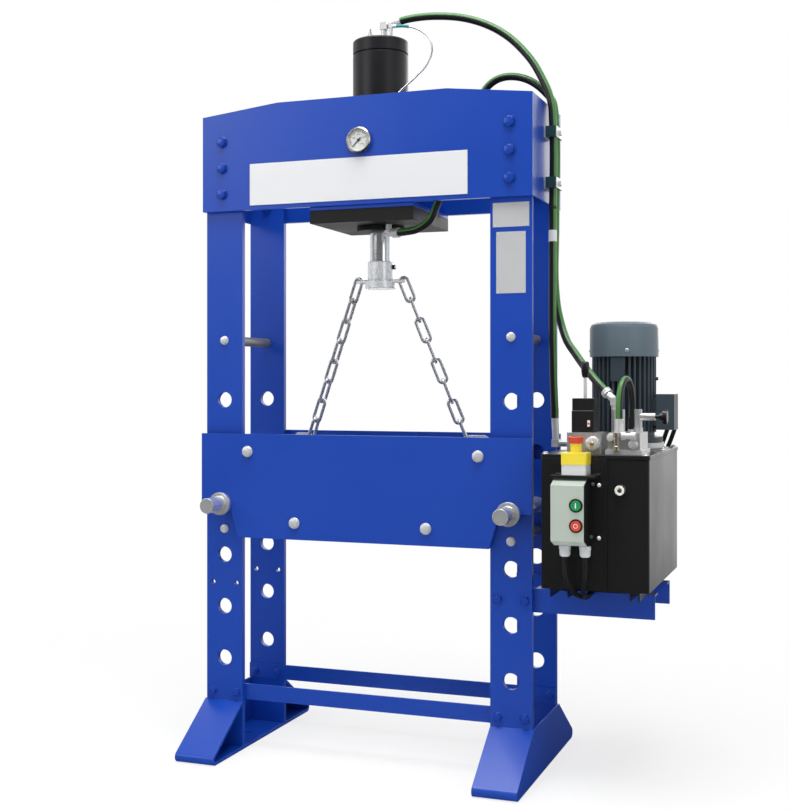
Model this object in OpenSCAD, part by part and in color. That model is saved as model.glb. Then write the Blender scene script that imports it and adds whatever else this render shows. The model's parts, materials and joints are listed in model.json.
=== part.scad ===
// Workshop hydraulic press: welded and bolted H-frame, double-acting cylinder,
// height-adjustable table on two pins, lifting chains and an electric power unit.
// Millimetres. +Z is up, +X points to the power unit, the front faces -Y.
// The origin lies on the floor under the ram axis.

/* [Columns] */
// Clear width between the left and right posts
opening_w = 695; // [640:5:760]
// Width of each post plate
post_w = 108; // [100:1:118]
// Thickness of each post plate
post_t = 15; // [12:1:18]
// Depth of a column, from its front face to its rear face
column_depth = 275; // [262:1:290]
// Height of the lowest pin hole above the floor
first_hole_z = 246; // [238:1:256]
// Vertical spacing of the pin holes
hole_pitch = 140; // [134:1:146]
// Diameter of the pin holes
hole_d = 42; // [36:0.5:46]
// Diameter of the round bars that space the front and rear posts
spacer_d = 26; // [20:1:30]
// Height of the lower spacer bar above the hole under the table pins
low_spacer_rise = 70; // [62:1:78]
// Height of the upper spacer bar above the top pin hole
high_spacer_rise = 161; // [140:1:180]

/* [Feet] */
// Length of a foot from toe to toe
foot_len = 604; // [540:2:680]
// Thickness of the bent foot strip
foot_t = 8; // [6:0.5:10]
// Outside radius of the rounded toes
toe_r = 14; // [12:1:18]
// Height at which the foot's ramps meet the posts
ramp_z = 131; // [115:1:136]
// Thickness of the closing plate on a foot's outer side
foot_side_t = 5; // [4:0.5:8]
// Diameter of the floor anchor hole in each foot
anchor_d = 22; // [14:1:26]
// Height of the tie bolts above the floor
tie_z = 155; // [152:1:162]
// Leg of the tie angles
tie_leg = 42; // [36:1:46]
// Wall of the tie angles and of the bracket arms
angle_t = 5; // [4:0.5:7]

/* [Crown] */
// Height of the crown plates' lower edge
crown_z = 1456; // [1440:1:1475]
// Height of the crown plates at their ends
crown_end_h = 257; // [245:1:280]
// Extra height of the crown plates in the middle
crown_rise = 25; // [0:1:40]
// Width of the level stretch in the middle of the crown's top edge
crown_flat_w = 474; // [360:2:600]
// Thickness of the crown plates
crown_t = 15; // [12:1:20]
// Thickness of the plates that close the crown's ends
crown_side_t = 5; // [4:0.5:8]
// Vertical spacing of the crown bolts
crown_bolt_pitch = 70; // [60:1:75]
// Width of the white sign panel
sign_w = 610; // [520:2:620]
// Height of the white sign panel
sign_h = 111; // [90:1:114]
// Outside diameter of the gauge's bezel
gauge_d = 68; // [60:1:76]

/* [Cylinder] */
// Outside diameter of the barrel
barrel_d = 150; // [140:1:160]
// Bore of the barrel
bore_d = 110; // [100:1:118]
// Height of the barrel's top above the crown's lower edge
barrel_rise = 419; // [400:1:450]
// Thickness of the cylinder's end cap
cap_h = 40; // [30:1:46]
// Diameter of the piston rod
rod_d = 58; // [50:1:64]
// Width of the square plate that carries the cylinder
seat_w = 290; // [280:1:300]
// Thickness of the plate that carries the cylinder
seat_t = 34; // [28:1:40]
// Thickness of the pad between that plate and the crown
pad_t = 10; // [6:1:14]
// Diameter of the press head's flange
head_d = 84; // [78:1:92]
// Thickness of the press head's flange
head_t = 27; // [20:1:32]
// Diameter of the press head's sleeve
sleeve_d = 70; // [66:1:74]
// Length of the press head's sleeve
sleeve_h = 46; // [36:1:56]

/* [Table] */
// Height of the table plates
table_h = 278; // [262:1:290]
// Height of the table's top edge above the pin axis
table_rise = 189; // [180:1:200]
// Thickness of the table plates
table_t = 13; // [11:1:16]
// Gap between a post's face and a table plate
table_gap = 8; // [7:0.5:10]
// Diameter of the table's spacer bars
table_spacer_d = 40; // [34:1:44]
// Length of a pin's grip, in front of its collar
pin_grip = 80; // [50:1:90]

/* [Chain] */
// Diameter of the chain wire
wire_d = 9; // [8:0.25:9.5]
// Inside length of a chain link
link_pitch = 59; // [57:0.5:62]
// Outside width of a chain link
link_w = 32; // [31:0.5:34]
// Lean of the chains outwards from the vertical, in degrees
chain_lean = 21.8; // [20:0.2:23]
// Swing of the chains' plane towards the rear, in degrees
chain_swing = 16; // [12:0.5:20]

/* [Power unit] */
// Width of the oil tank
tank_w = 258; // [250:1:266]
// Depth of the oil tank
tank_depth = 464; // [450:1:480]
// Height of the oil tank
tank_h = 312; // [300:1:316]
// Thickness of the tank lid
lid_t = 10; // [6:0.5:12]
// Gap between the column's side and the tank
tank_gap = 46; // [42:1:52]
// Height of the bracket arms' holes above the floor
arm_z = 450; // [445:1:456]
// Height of the bracket arms
arm_h = 60; // [52:1:64]
// Length of the bracket arms beyond the column
arm_reach = 300; // [280:2:320]
// Diameter of the motor's fan cover
fan_cover_d = 178; // [172:1:184]
// Height of the motor's finned housing
motor_h = 228; // [215:1:235]
// Height of the fan cover
fan_cover_h = 70; // [66:1:80]

/* [Controls] */
// Width of the motor starter
starter_w = 78; // [74:1:84]
// Height of the motor starter
starter_h = 158; // [150:1:166]
// Side of the square emergency stop box
estop_w = 58; // [54:1:64]
// Diameter of the emergency stop's mushroom head
mushroom_d = 38; // [35:1:42]
// Diameter of the start and stop buttons
button_d = 24; // [20:0.5:26]

/* [Hidden] */
$fn = 48;

// Working clearances: still seats, loose bolt holes, running fits
seat = 0.3;
bolt_gap = 0.5;
running = 0.05;

// Columns
post_x = (opening_w + post_w) / 2;
post_half = post_w / 2;
side_x = post_x + post_half;
face_y = column_depth / 2;
inner_y = face_y - post_t;
hole_count = 6;
table_hole = 3;
pin_z = first_hole_z + table_hole * hole_pitch;
top_hole_z = first_hole_z + (hole_count - 1) * hole_pitch;
low_spacer_z = first_hole_z + (table_hole - 1) * hole_pitch + low_spacer_rise;
high_spacer_z = top_hole_z + high_spacer_rise;
post_top = crown_z + crown_end_h - 22;
pair_x = 35;

// Bolts: across flats, head height, shank radius
m16 = [24, 10, 8];
m12 = [19, 7, 6];
washer_t = 2.5;

// Crown
crown_half = side_x + crown_side_t;
crown_end_z = crown_z + crown_end_h;
crown_front_y = face_y + crown_t;
crown_bolt_z = crown_z + 46;
gauge_z = crown_z + 165;
sign_z = crown_z + 67;
sign_x = -12;
sign_t = 2;
gauge_body_r = gauge_d / 2 - 4;

// Cylinder
pad_z = crown_z - pad_t;
plate_z = pad_z - seat_t;
barrel_top = crown_z + barrel_rise;
cap_top = barrel_top + cap_h;
gland_r = 64;
gland_h = 12;
gland_spigot_r = 42;

// Chain: wire centres lie at a flat link's ends inside, at an edge link's ends outside
wire_r = wire_d / 2;
bend_r = (link_w - wire_d) / 2;
flat_span = link_pitch - wire_d - 2 * seat;
edge_span = link_pitch + wire_d;
pair_span = flat_span + edge_span;
chain_pairs = 4;
chain_len = chain_pairs * pair_span;

// Table
table_top = pin_z + table_rise;
table_bottom = table_top - table_h;
table_in_y = face_y + table_gap;
table_out_y = table_in_y + table_t;
table_mid_y = (table_in_y + table_out_y) / 2;
ear_in_x = opening_w / 2 + 30;
table_low_x = opening_w / 2 + 2;
pin_r = hole_d / 2 - bolt_gap;
collar_r = pin_r + 10;
collar_t = 12;
high_bar = [opening_w / 2 - 26, table_top - 47];
low_bar = [opening_w / 2 - 164, table_bottom + 44];

// Press head, hung at the height where the chains are taut
hook_z = table_top - 25;
eye_x = head_d / 2 + 12;
eye_z = hook_z + chain_len * cos(chain_lean);
head_bottom = eye_z - head_t + 7;
head_top = head_bottom + head_t;
sleeve_top = head_top + sleeve_h;
rod_end_z = head_bottom + 12;
piston_h = 60;
piston_top = barrel_top - 6;

// Power unit
arm_top = arm_z + arm_h / 2;
rail_h = 20;
tank_z = arm_top + rail_h;
tank_top = tank_z + tank_h;
lid_top = tank_top + lid_t;
tank_x = side_x + tank_gap;
tank_mid_x = tank_x + tank_w / 2;
tank_front = -tank_depth / 2;
motor_x = tank_mid_x + 5;
motor_y = tank_depth / 2 - 102;
motor_r = fan_cover_d / 2 - 6;
flange_t = 14;
adapter_h = 16;
motor_z = lid_top + adapter_h + flange_t;
motor_top = motor_z + motor_h;
box_x = motor_x + motor_r + 6;
box_z = motor_z + 19;
box_half = 35;
box_glands = [14, 33];
box_gland_len = 14;
box_gland_y = motor_y + box_half + box_gland_len;
box_gland_z = box_z + 25;
block_z = lid_top + 28;
port_z = lid_top + 51;
block_front = tank_front + 36;
valve_block = [tank_x + 55, tank_x + 138];
valve_block_rear = tank_front + 232;
return_block = [tank_x + 154, tank_x + 230];
return_block_rear = tank_front + 152;
return_body_h = 55;
valve_x = tank_x + 92;
valve_y = tank_front + 72;
valve_w = 54;
valve_h = 82;
lever_z = port_z + valve_h - 12;
relief_x = tank_x + 219;
relief_y = tank_front + 82;
relief_z = port_z + 38;
knob_x = relief_x + 58;

// Controls
plate_t = 4;
plate_front = tank_front - plate_t;
starter_x = tank_x + 83;
starter_z = tank_top - 201;
starter_top = starter_z + starter_h;
base_depth = 48;
cover_depth = 36;
cover_slope = 14;
cover_t = 3;
base_front = plate_front - base_depth;
cover_front = base_front - cover_depth;
gland_x = starter_x + 8;
gland_len = 20;
gland_nut_r = 12;
gland_nut_h = 14;
gland_pitch = 24;
gland_y = base_front + 14;
gland_z = starter_z - gland_len;
button_x = starter_x + 21;
start_z = starter_z + 98;
stop_z = starter_z + 51;
button_travel = 4;
cap_in = 8;
stem_len = 20;
shelf_t = 8;
shelf_w = 106;
estop_x = starter_x + 10;
estop_y = plate_front - 3 - estop_w / 2;
estop_z = starter_top + shelf_t;
estop_base_h = 24;
estop_lid_h = 28;
neck_h = 22;
neck_r = 13.3;
neck_top = estop_z + estop_base_h + estop_lid_h + neck_h;

// Routes of the hoses, the gauge line and the cables: centre points, start to end.
// They start at the cylinder, pass the crown's side at hose_x and end on the power unit.
hose_x = crown_half + 19.5;
manifold_at = [tank_x, tank_front, port_z];
pressure_route = [[40, 0, cap_top + 47], [70, 0, cap_top + 53], [120, 0, cap_top + 56],
    [170, 0, cap_top + 53], [225, 0, cap_top + 44], [280, 0, cap_top + 26], [hose_x - 155, 0, cap_top + 3],
    [hose_x - 118, 0, cap_top - 24], [hose_x - 85, -2, crown_end_z + 145],
    [hose_x - 57, -5, crown_end_z + 110], [hose_x - 32, -10, crown_end_z + 67],
    [hose_x - 12, -15, crown_end_z + 24], [hose_x - 3, -18, crown_end_z - 11],
    [hose_x, -20, crown_end_z - 51], [hose_x, -20, crown_z - 56], [hose_x, -20, port_z + 227],
    [hose_x + 2, -20, port_z + 127], [hose_x + 5, -20, port_z + 49]];
return_route = [[62, -66, plate_z - 24], [100, -80, plate_z - 24], [140, -92, plate_z - 19],
    [172, -96, plate_z], [190, -92, crown_z - 6], [205, -80, crown_z + 44], [228, -55, crown_z + 114],
    [252, -25, crown_z + 184], [265, 5, crown_end_z - 8], [278, 18, crown_end_z + 35],
    [294, 20, crown_end_z + 60], [316, 20, crown_end_z + 76], [343, 20, crown_end_z + 83],
    [hose_x - 107, 20, crown_end_z + 81], [hose_x - 77, 18, crown_end_z + 71],
    [hose_x - 49, 15, crown_end_z + 53], [hose_x - 26, 13, crown_end_z + 31],
    [hose_x - 8, 12, crown_end_z + 7], [hose_x - 2, 12, crown_end_z - 23],
    [hose_x, 12, crown_end_z - 51], [hose_x, 12, crown_z - 56], [hose_x, 12, port_z + 357],
    [hose_x + 5, 12, port_z + 312], [hose_x + 17, 6, port_z + 267], [hose_x + 36, -16, port_z + 227],
    [tank_x + 43.5, -50, port_z + 193], [tank_x + 78.5, tank_front + 144, port_z + 155],
    [tank_x + 116.5, tank_front + 111, port_z + 117], [tank_x + 143.5, tank_front + 96, port_z + 92]];
loop_route = [for (p = [[178.5, 50, 33], [178.5, 50, 61], [179.5, 53, 89], [182.5, 64, 113],
    [186.5, 82, 127], [189.5, 102, 127], [192.5, 120, 113], [194.5, 132, 89], [195.5, 136, 63],
    [195.5, 136, 33]]) p + manifold_at];
capillary_route = [[55, -26, cap_top + 31], [75, -28, cap_top + 29], [100, -29, cap_top + 23],
    [125, -30, cap_top + 11], [148, -32, cap_top - 9], [159, -36, cap_top - 33],
    [159, -40, cap_top - 59], [150, -46, cap_top - 83], [124, -58, gauge_z + 179],
    [90, -74, gauge_z + 144], [55, -92, gauge_z + 104], [24, -107, gauge_z + 67],
    [6, -115, gauge_z + 43], [0, -118, gauge_z + 27], [0, -118, gauge_z + 15]];

// Cable from a gland of the starter, under the tank, up its rear and into the terminal box
function cable(x, run_x, box_x) = let (d = run_x - x, rear = -tank_front) [
    [x, gland_y, gland_z], [x, gland_y, gland_z - 36], [x + 0.2 * d, gland_y, gland_z - 66],
    [x + 0.5 * d, gland_y + 6, tank_z + 12], [x + 0.8 * d, gland_y + 20, tank_z - 4],
    [run_x, plate_front - 2, tank_z - 10], [run_x + 2, 0, tank_z - 10], [run_x + 6, rear - 17, tank_z - 11],
    [run_x + 14, rear + 14, tank_z - 4], [run_x + 24, rear + 28, tank_z + 24],
    [run_x + 50, rear + 28, tank_z + 120], [run_x + 102, rear + 28, tank_top - 42],
    [box_x - 18, rear + 22, lid_top + 18], [box_x - 4, rear + 6, box_gland_z - 19],
    [box_x, box_gland_y + 22, box_gland_z], [box_x, box_gland_y, box_gland_z]];
cable_routes = [cable(gland_x - gland_pitch, tank_x + 88.5, box_x + box_glands[0]),
    cable(gland_x + gland_pitch, tank_x + 104.5, box_x + box_glands[1])];
hose_r = 10;
loop_r = 8;
capillary_r = 2.5;
cable_r = 6;

// Small shared shapes

// Square-cornered block between two corners
module block(low, high) {
    translate(low) cube(high - low);
}

// Cylinder along +Y that starts at y
module bar_y(r, x, y, z, len) {
    translate([x, y, z]) rotate([-90, 0, 0]) cylinder(r = r, h = len);
}

// Cylinder along +X that starts at x
module bar_x(r, x, y, z, len) {
    translate([x, y, z]) rotate([0, 90, 0]) cylinder(r = r, h = len);
}

// Hexagonal prism along +Y that starts at y
module hex_y(flats, x, y, z, len) {
    translate([x, y, z]) rotate([-90, 0, 0]) cylinder(d = flats / cos(30), h = len, $fn = 6);
}

// Flat rectangle with rounded corners, lower left corner at the origin
module round_rect(w, h, r) {
    translate([r, 0]) square([w - 2 * r, h]);
    translate([0, r]) square([w, h - 2 * r]);
    for (x = [r, w - r], y = [r, h - r]) translate([x, y]) circle(r);
}

// Both sides of the machine
module both_sides() {
    children();
    mirror([1, 0, 0]) children();
}

// Front and rear of the machine
module front_and_rear() {
    children();
    mirror([0, 1, 0]) children();
}

// Unit vector along the route at point i
function unit(v) = v / norm(v);
function heading(p, i) = unit(p[min(i + 1, len(p) - 1)] - p[max(i - 1, 0)]);

// Points that lie straight before a route's start and straight past its end
function last(route) = route[len(route) - 1];
function before(route, d) = route[0] - d * heading(route, 0);
function beyond(route, d) = last(route) + d * heading(route, len(route) - 1);

// Tube swept along a route; side is a direction that the route never runs along
module tube(route, r, side, sides = 10) {
    n = len(route);
    points = [for (i = [0:n - 1])
        let (t = heading(route, i), u = unit(cross(side, t)), v = cross(t, u))
        for (j = [0:sides - 1]) route[i] + r * (cos(360 * j / sides) * u + sin(360 * j / sides) * v)];
    walls = [for (i = [0:n - 2], j = [0:sides - 1])
        let (k = (j + 1) % sides)
        [i * sides + j, (i + 1) * sides + j, (i + 1) * sides + k, i * sides + k]];
    start = [for (j = [0:sides - 1]) j];
    end = [for (j = [sides - 1:-1:0]) (n - 1) * sides + j];
    polyhedron(points, concat([start], walls, [end]), convexity = 8);
}

// Feet: a bent strip that ramps up to the posts, and a plate on its outer side

toe_y = foot_len / 2 - toe_r;
ramp_top = [face_y, ramp_z];
ramp_reach = norm([toe_y - face_y, ramp_z - toe_r]);
ramp_normal = atan2(ramp_z - toe_r, face_y - toe_y) - acos(toe_r / ramp_reach);
function ramp_foot(r) = [toe_y + r * cos(ramp_normal), toe_r + r * sin(ramp_normal)];
function turned(p) = [-p[0], p[1]];

module foot_outline(r, floor_z, top) {
    low = ramp_foot(r);
    polygon([[-toe_y, floor_z], [toe_y, floor_z], low, top, turned(top), turned(low)]);
    for (s = [-1, 1]) translate([s * toe_y, toe_r]) circle(r);
}

module foot_strip_section() {
    inner_top = ramp_top - foot_t * [cos(ramp_normal), sin(ramp_normal)];
    difference() {
        foot_outline(toe_r, 0, ramp_top);
        foot_outline(toe_r - foot_t, foot_t, inner_top);
        translate([-face_y, foot_t]) square([2 * face_y, ramp_z]);
    }
}

module foot() {
    difference() {
        union() {
            translate([opening_w / 2, 0, 0]) rotate([90, 0, 90])
                linear_extrude(post_w) foot_strip_section();
            translate([side_x, 0, 0]) rotate([90, 0, 90])
                linear_extrude(foot_side_t) foot_outline(toe_r, 0, ramp_top);
        }
        translate([post_x, 0, -1]) cylinder(d = anchor_d, h = foot_t + 2);
    }
}

module left_foot() {
    color("royalblue") mirror([1, 0, 0]) foot();
}

module right_foot() {
    color("royalblue") foot();
}

// Posts: flat plates standing on the feet, drilled for pins, spacers, ties and crown

module post_holes() {
    for (i = [0:hole_count - 1]) bar_y(hole_d / 2, post_x, -1, first_hole_z + i * hole_pitch, post_t + 2);
    for (z = [low_spacer_z, high_spacer_z]) bar_y(m12[2] + bolt_gap, post_x, -1, z, post_t + 2);
    for (s = [-1, 1], z = [tie_z, arm_z]) bar_y(m12[2] + bolt_gap, post_x + s * pair_x, -1, z, post_t + 2);
    for (i = [0:2]) bar_y(m16[2] + bolt_gap, post_x, -1, crown_bolt_z + i * crown_bolt_pitch, post_t + 2);
}

module post() {
    difference() {
        block([opening_w / 2, 0, foot_t], [side_x, post_t, post_top]);
        post_holes();
    }
}

module post_pair() {
    front_and_rear() translate([0, -face_y, 0]) post();
}

module left_posts() {
    color("royalblue") mirror([1, 0, 0]) post_pair();
}

module right_posts() {
    color("royalblue") post_pair();
}

// Ties: flat bars bolted to the posts' inner faces just above the feet

module tie() {
    low = tie_z - tie_leg / 2;
    difference() {
        block([-side_x, -inner_y, low], [side_x, -inner_y + angle_t, low + tie_leg]);
        for (s = [-1, 1], p = [-1, 1])
            bar_y(m12[2] + bolt_gap, s * post_x + p * pair_x, -inner_y - 1, tie_z, angle_t + 2);
    }
}

module ties() {
    color("royalblue") front_and_rear() tie();
}

// Column spacers: round bars tapped at both ends

spacer_tap = 30;

module column_spacers() {
    color("silver") both_sides() for (z = [low_spacer_z, high_spacer_z]) difference() {
        bar_y(spacer_d / 2, post_x, -inner_y, z, 2 * inner_y);
        for (y = [-inner_y - 1, inner_y - spacer_tap])
            bar_y(m12[2] + bolt_gap, post_x, y, z, spacer_tap + 1);
    }
}

// Zinc bolts: screwed through posts and table plates into the ends of the spacer bars

module zinc_bolt(x, y, z, size, grip) {
    bar_y(size[0] * 0.62, x, y - washer_t, z, washer_t);
    hex_y(size[0], x, y - washer_t - size[1] * 0.7, z, size[1] * 0.7);
    bar_y(size[2], x, y - washer_t, z, washer_t + grip);
}

module zinc_bolts() {
    color("gainsboro") both_sides() front_and_rear() {
        for (z = [low_spacer_z, high_spacer_z]) zinc_bolt(post_x, -face_y, z, m12, post_t + spacer_tap - 5);
        for (p = [high_bar, low_bar]) zinc_bolt(p[0], -table_out_y, p[1], m16, table_t + spacer_tap - 5);
    }
}

// Frame bolts: painted hexagon bolts through crown and posts, and through posts and ties

module frame_bolt(x, y, z, size, grip) {
    hex_y(size[0], x, y - size[1], z, size[1]);
    bar_y(size[2], x, y - size[1] / 2, z, grip + 1.5 * size[1]);
    hex_y(size[0], x, y + grip, z, size[1]);
}

module frame_bolts() {
    color("mediumblue") both_sides() front_and_rear() {
        for (i = [0:2])
            frame_bolt(post_x, -crown_front_y, crown_bolt_z + i * crown_bolt_pitch, m16, crown_t + post_t);
        for (s = [-1, 1]) frame_bolt(post_x + s * pair_x, -face_y, tie_z, m12, post_t + angle_t);
    }
    color("mediumblue") front_and_rear() for (s = [-1, 1])
        frame_bolt(post_x + s * pair_x, -face_y, arm_z, m12, post_t + angle_t);
}

// Crown: front and rear plates bolted over the posts, ends closed by side plates

module crown_plate_outline() {
    polygon([[-crown_half, crown_z], [crown_half, crown_z], [crown_half, crown_end_z],
        [crown_flat_w / 2, crown_end_z + crown_rise], [-crown_flat_w / 2, crown_end_z + crown_rise],
        [-crown_half, crown_end_z]]);
}

module crown_plate() {
    difference() {
        translate([0, -face_y, 0]) rotate([90, 0, 0]) linear_extrude(crown_t) crown_plate_outline();
        for (s = [-1, 1], i = [0:2])
            bar_y(m16[2] + bolt_gap, s * post_x, -crown_front_y - 1,
                crown_bolt_z + i * crown_bolt_pitch, crown_t + 2);
    }
}

module crown_front_plate() {
    color("royalblue") difference() {
        crown_plate();
        bar_y(gauge_body_r + seat, 0, -crown_front_y - 1, gauge_z, crown_t + 2);
    }
}

module crown_rear_plate() {
    color("royalblue") mirror([0, 1, 0]) crown_plate();
}

module crown_side_plates() {
    color("royalblue") both_sides()
        block([side_x, -face_y, crown_z], [crown_half, face_y, crown_end_z]);
}

module crown_pad() {
    color("royalblue") difference() {
        block([-seat_w / 2, -seat_w / 2, pad_z], [seat_w / 2, seat_w / 2, crown_z]);
        translate([0, 0, pad_z - 1]) cylinder(d = barrel_d + 2 * seat, h = pad_t + 2);
    }
}

// Cylinder: plate under the crown, barrel, end cap and rod gland

module cylinder_plate() {
    color("dimgray") difference() {
        block([-seat_w / 2, -seat_w / 2, plate_z], [seat_w / 2, seat_w / 2, pad_z]);
        translate([0, 0, plate_z - 1]) cylinder(r = gland_spigot_r + running, h = seat_t + 2);
    }
}

module cylinder_barrel() {
    color("black") translate([0, 0, pad_z]) difference() {
        cylinder(d = barrel_d, h = barrel_top - pad_z);
        translate([0, 0, -1]) cylinder(d = bore_d, h = barrel_top - pad_z + 2);
    }
}

module cylinder_cap() {
    groove = 4;
    chamfer = 4;
    r = barrel_d / 2;
    color("black") translate([0, 0, barrel_top]) rotate_extrude() polygon([[0, 0], [r - groove, 0],
        [r - groove, groove], [r, groove], [r, cap_h - chamfer], [r - chamfer, cap_h], [0, cap_h]]);
}

module cylinder_gland() {
    bore = rod_d / 2 + running;
    color("dimgray") rotate_extrude() polygon([[bore, plate_z - gland_h], [gland_r, plate_z - gland_h],
        [gland_r, plate_z], [gland_spigot_r, plate_z], [gland_spigot_r, pad_z], [bore, pad_z]]);
}

// Piston and rod, turned from one bar, with the rod end turned down into the head

module piston_rod() {
    r = rod_d / 2;
    piston_r = bore_d / 2 - running;
    color("lightgray") rotate_extrude() polygon([[0, rod_end_z], [r - 4, rod_end_z],
        [r, rod_end_z + 4], [r, piston_top - piston_h], [piston_r, piston_top - piston_h],
        [piston_r, piston_top], [0, piston_top]]);
}

// Press head: sleeve and flange over the rod end, set screw, and a chain eye on each side

// Upright plane of the right chain, with its origin in the wire of the chain eye
module chain_frame() {
    translate([eye_x, 0, eye_z]) rotate([0, 0, chain_swing]) translate([bend_r, 0, 0]) children();
}

module half_bend() {
    rotate_extrude(angle = 180) translate([bend_r, 0]) circle(wire_r);
}

module chain_eye() {
    root = eye_x - sleeve_d / 2 + 4;
    translate([eye_x, 0, eye_z]) {
        rotate([0, 0, -90]) half_bend();
        for (s = [-1, 1]) bar_x(wire_r, -root, s * bend_r, 0, root);
    }
}

module ram_head() {
    rod_r = rod_d / 2;
    color("silver") {
        difference() {
            union() {
                rotate_extrude() polygon([[0, head_bottom], [head_d / 2 - 2, head_bottom],
                    [head_d / 2, head_bottom + 2], [head_d / 2, eye_z], [sleeve_d / 2, eye_z],
                    [sleeve_d / 2, sleeve_top - 2], [sleeve_d / 2 - 2, sleeve_top], [0, sleeve_top]]);
                both_sides() chain_eye();
            }
            translate([0, 0, rod_end_z - seat]) cylinder(r = rod_r + seat, h = sleeve_h + head_t);
        }
        bar_x(6, sleeve_d / 2, 0, sleeve_top - 15, 7);
    }
}

// Table: two plates outside the posts, resting on the pins and held apart by spacer bars

module table_outline() {
    polygon([[-crown_half, table_top], [-crown_half, pin_z], [-ear_in_x, pin_z],
        [-table_low_x, table_bottom], [table_low_x, table_bottom], [ear_in_x, pin_z],
        [crown_half, pin_z], [crown_half, table_top]]);
}

module table_plate() {
    difference() {
        translate([0, -table_in_y, 0]) rotate([90, 0, 0]) linear_extrude(table_t) table_outline();
        for (s = [-1, 1]) {
            bar_y(pin_r + seat, s * post_x, -table_out_y - 1, pin_z, table_t + 2);
            for (p = [high_bar, low_bar])
                bar_y(m16[2] + bolt_gap, s * p[0], -table_out_y - 1, p[1], table_t + 2);
        }
    }
}

module table_plates() {
    color("royalblue") front_and_rear() table_plate();
}

module table_bar(p) {
    difference() {
        bar_y(table_spacer_d / 2, p[0], -table_in_y, p[1], 2 * table_in_y);
        for (y = [-table_in_y - 1, table_in_y - spacer_tap])
            bar_y(m16[2] + bolt_gap, p[0], y, p[1], spacer_tap + 1);
    }
}

// Hook arm that the lowest chain link hangs under, in the plane of the chain
module chain_hook() {
    arm_t = 8;
    arm_h = 18;
    lip = 7;
    notch = wire_r + 2;
    wire_x = chain_len * sin(chain_lean);
    wire_z = -chain_len * cos(chain_lean);
    low = wire_z + wire_r - 1;
    root_x = (high_bar[0] - eye_x) / cos(chain_swing) - bend_r;
    root_z = high_bar[1] - eye_z;
    chain_frame() translate([0, arm_t / 2, 0]) rotate([90, 0, 0]) linear_extrude(arm_t) difference() {
        polygon([[wire_x - lip + 2, low], [wire_x + 30, low], [root_x, root_z - 8], [root_x, root_z + 12],
            [wire_x + 44, low + arm_h], [wire_x, low + arm_h], [wire_x - lip, low + arm_h / 2],
            [wire_x - lip, low + 2]]);
        translate([wire_x, wire_z]) circle(notch);
    }
}

module table_spacers() {
    color("silver") both_sides() {
        table_bar(low_bar);
        table_bar(high_bar);
        chain_hook();
    }
}

// Table pins: bars through both posts, with a collar against the table's front plate

module pin() {
    back = table_out_y + 8;
    front = -table_out_y - seat;
    bar_y(pin_r, post_x, front - pin_grip, pin_z, back - front + pin_grip);
    bar_y(collar_r, post_x, front - collar_t, pin_z, collar_t);
}

module left_pin() {
    color("silver") mirror([1, 0, 0]) pin();
}

module right_pin() {
    color("silver") pin();
}

// Chains: each piece is one flat link and the edge-on link that hangs in it

module link() {
    leg = edge_span / 2 - bend_r;
    for (s = [-1, 1]) translate([s * bend_r, 0, -leg]) cylinder(r = wire_r, h = 2 * leg);
    translate([0, 0, leg]) rotate([90, 0, 0]) half_bend();
    translate([0, 0, -leg]) rotate([-90, 0, 0]) half_bend();
}

module chain_pair(i) {
    top = (i - 1) * pair_span;
    color("lightgray") chain_frame() rotate([0, -chain_lean, 0]) {
        translate([0, 0, -top - flat_span / 2]) link();
        translate([0, 0, -top - flat_span - edge_span / 2]) rotate([0, 0, 90]) link();
    }
}

module left_chain(i) {
    mirror([1, 0, 0]) chain_pair(i);
}

module right_chain(i) {
    chain_pair(i);
}

// Sign panel and data plates: bare sheets on the crown and on the right front post

module sign_panel() {
    color("whitesmoke") block([sign_x - sign_w / 2, -crown_front_y - sign_t, sign_z - sign_h / 2],
        [sign_x + sign_w / 2, -crown_front_y, sign_z + sign_h / 2]);
}

module data_plates() {
    sheet = 1;
    upper_h = 61;
    lower_h = 154;
    upper_top = crown_z - 13;
    lower_top = upper_top - upper_h - 12;
    color("silver") {
        block([post_x - 47, -face_y - sheet, upper_top - upper_h], [post_x + 47, -face_y, upper_top]);
        block([post_x - 38, -face_y - sheet, lower_top - lower_h], [post_x + 38, -face_y, lower_top]);
    }
}

// Pressure gauge: case through the crown's front plate, dial, needle and glass

gauge_face_y = -crown_front_y - 7;
dial_r = gauge_d / 2 - 5;
nipple_y = 19.5 - face_y;

module gauge_turned() {
    translate([0, 0, gauge_z]) rotate([90, 0, 0]) rotate_extrude() children();
}

module gauge_case() {
    front = crown_front_y + 14;
    back = face_y - 12;
    color("silver") {
        gauge_turned() polygon([[0, back], [gauge_body_r, back], [gauge_body_r, crown_front_y],
            [gauge_d / 2, crown_front_y], [gauge_d / 2, front - 3], [gauge_d / 2 - 3, front],
            [dial_r, front], [dial_r, -gauge_face_y], [2, -gauge_face_y], [2, crown_front_y],
            [0, crown_front_y]]);
        translate([0, nipple_y, gauge_z]) cylinder(r = 4, h = 15);
        bar_y(8, 0, -back, gauge_z, 14);
    }
}

module gauge_glass() {
    color([0.8, 0.9, 0.95, 0.4]) bar_y(dial_r - seat / 2, 0, -crown_front_y - 13, gauge_z, 2);
}

module gauge_needle() {
    hub_y = gauge_face_y - 3;
    color("black") translate([0, 0, gauge_z]) {
        bar_y(3.5, 0, hub_y, 0, 2);
        bar_y(2 - running, 0, hub_y, 0, 9);
        translate([0, hub_y + 1.5, 0]) rotate([90, -135, 0]) linear_extrude(1)
            polygon([[-1.6, -9], [1.6, -9], [0.5, dial_r - 6], [-0.5, dial_r - 6]]);
    }
}

// Bracket arms: angles behind the right posts that carry the tank

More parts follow.
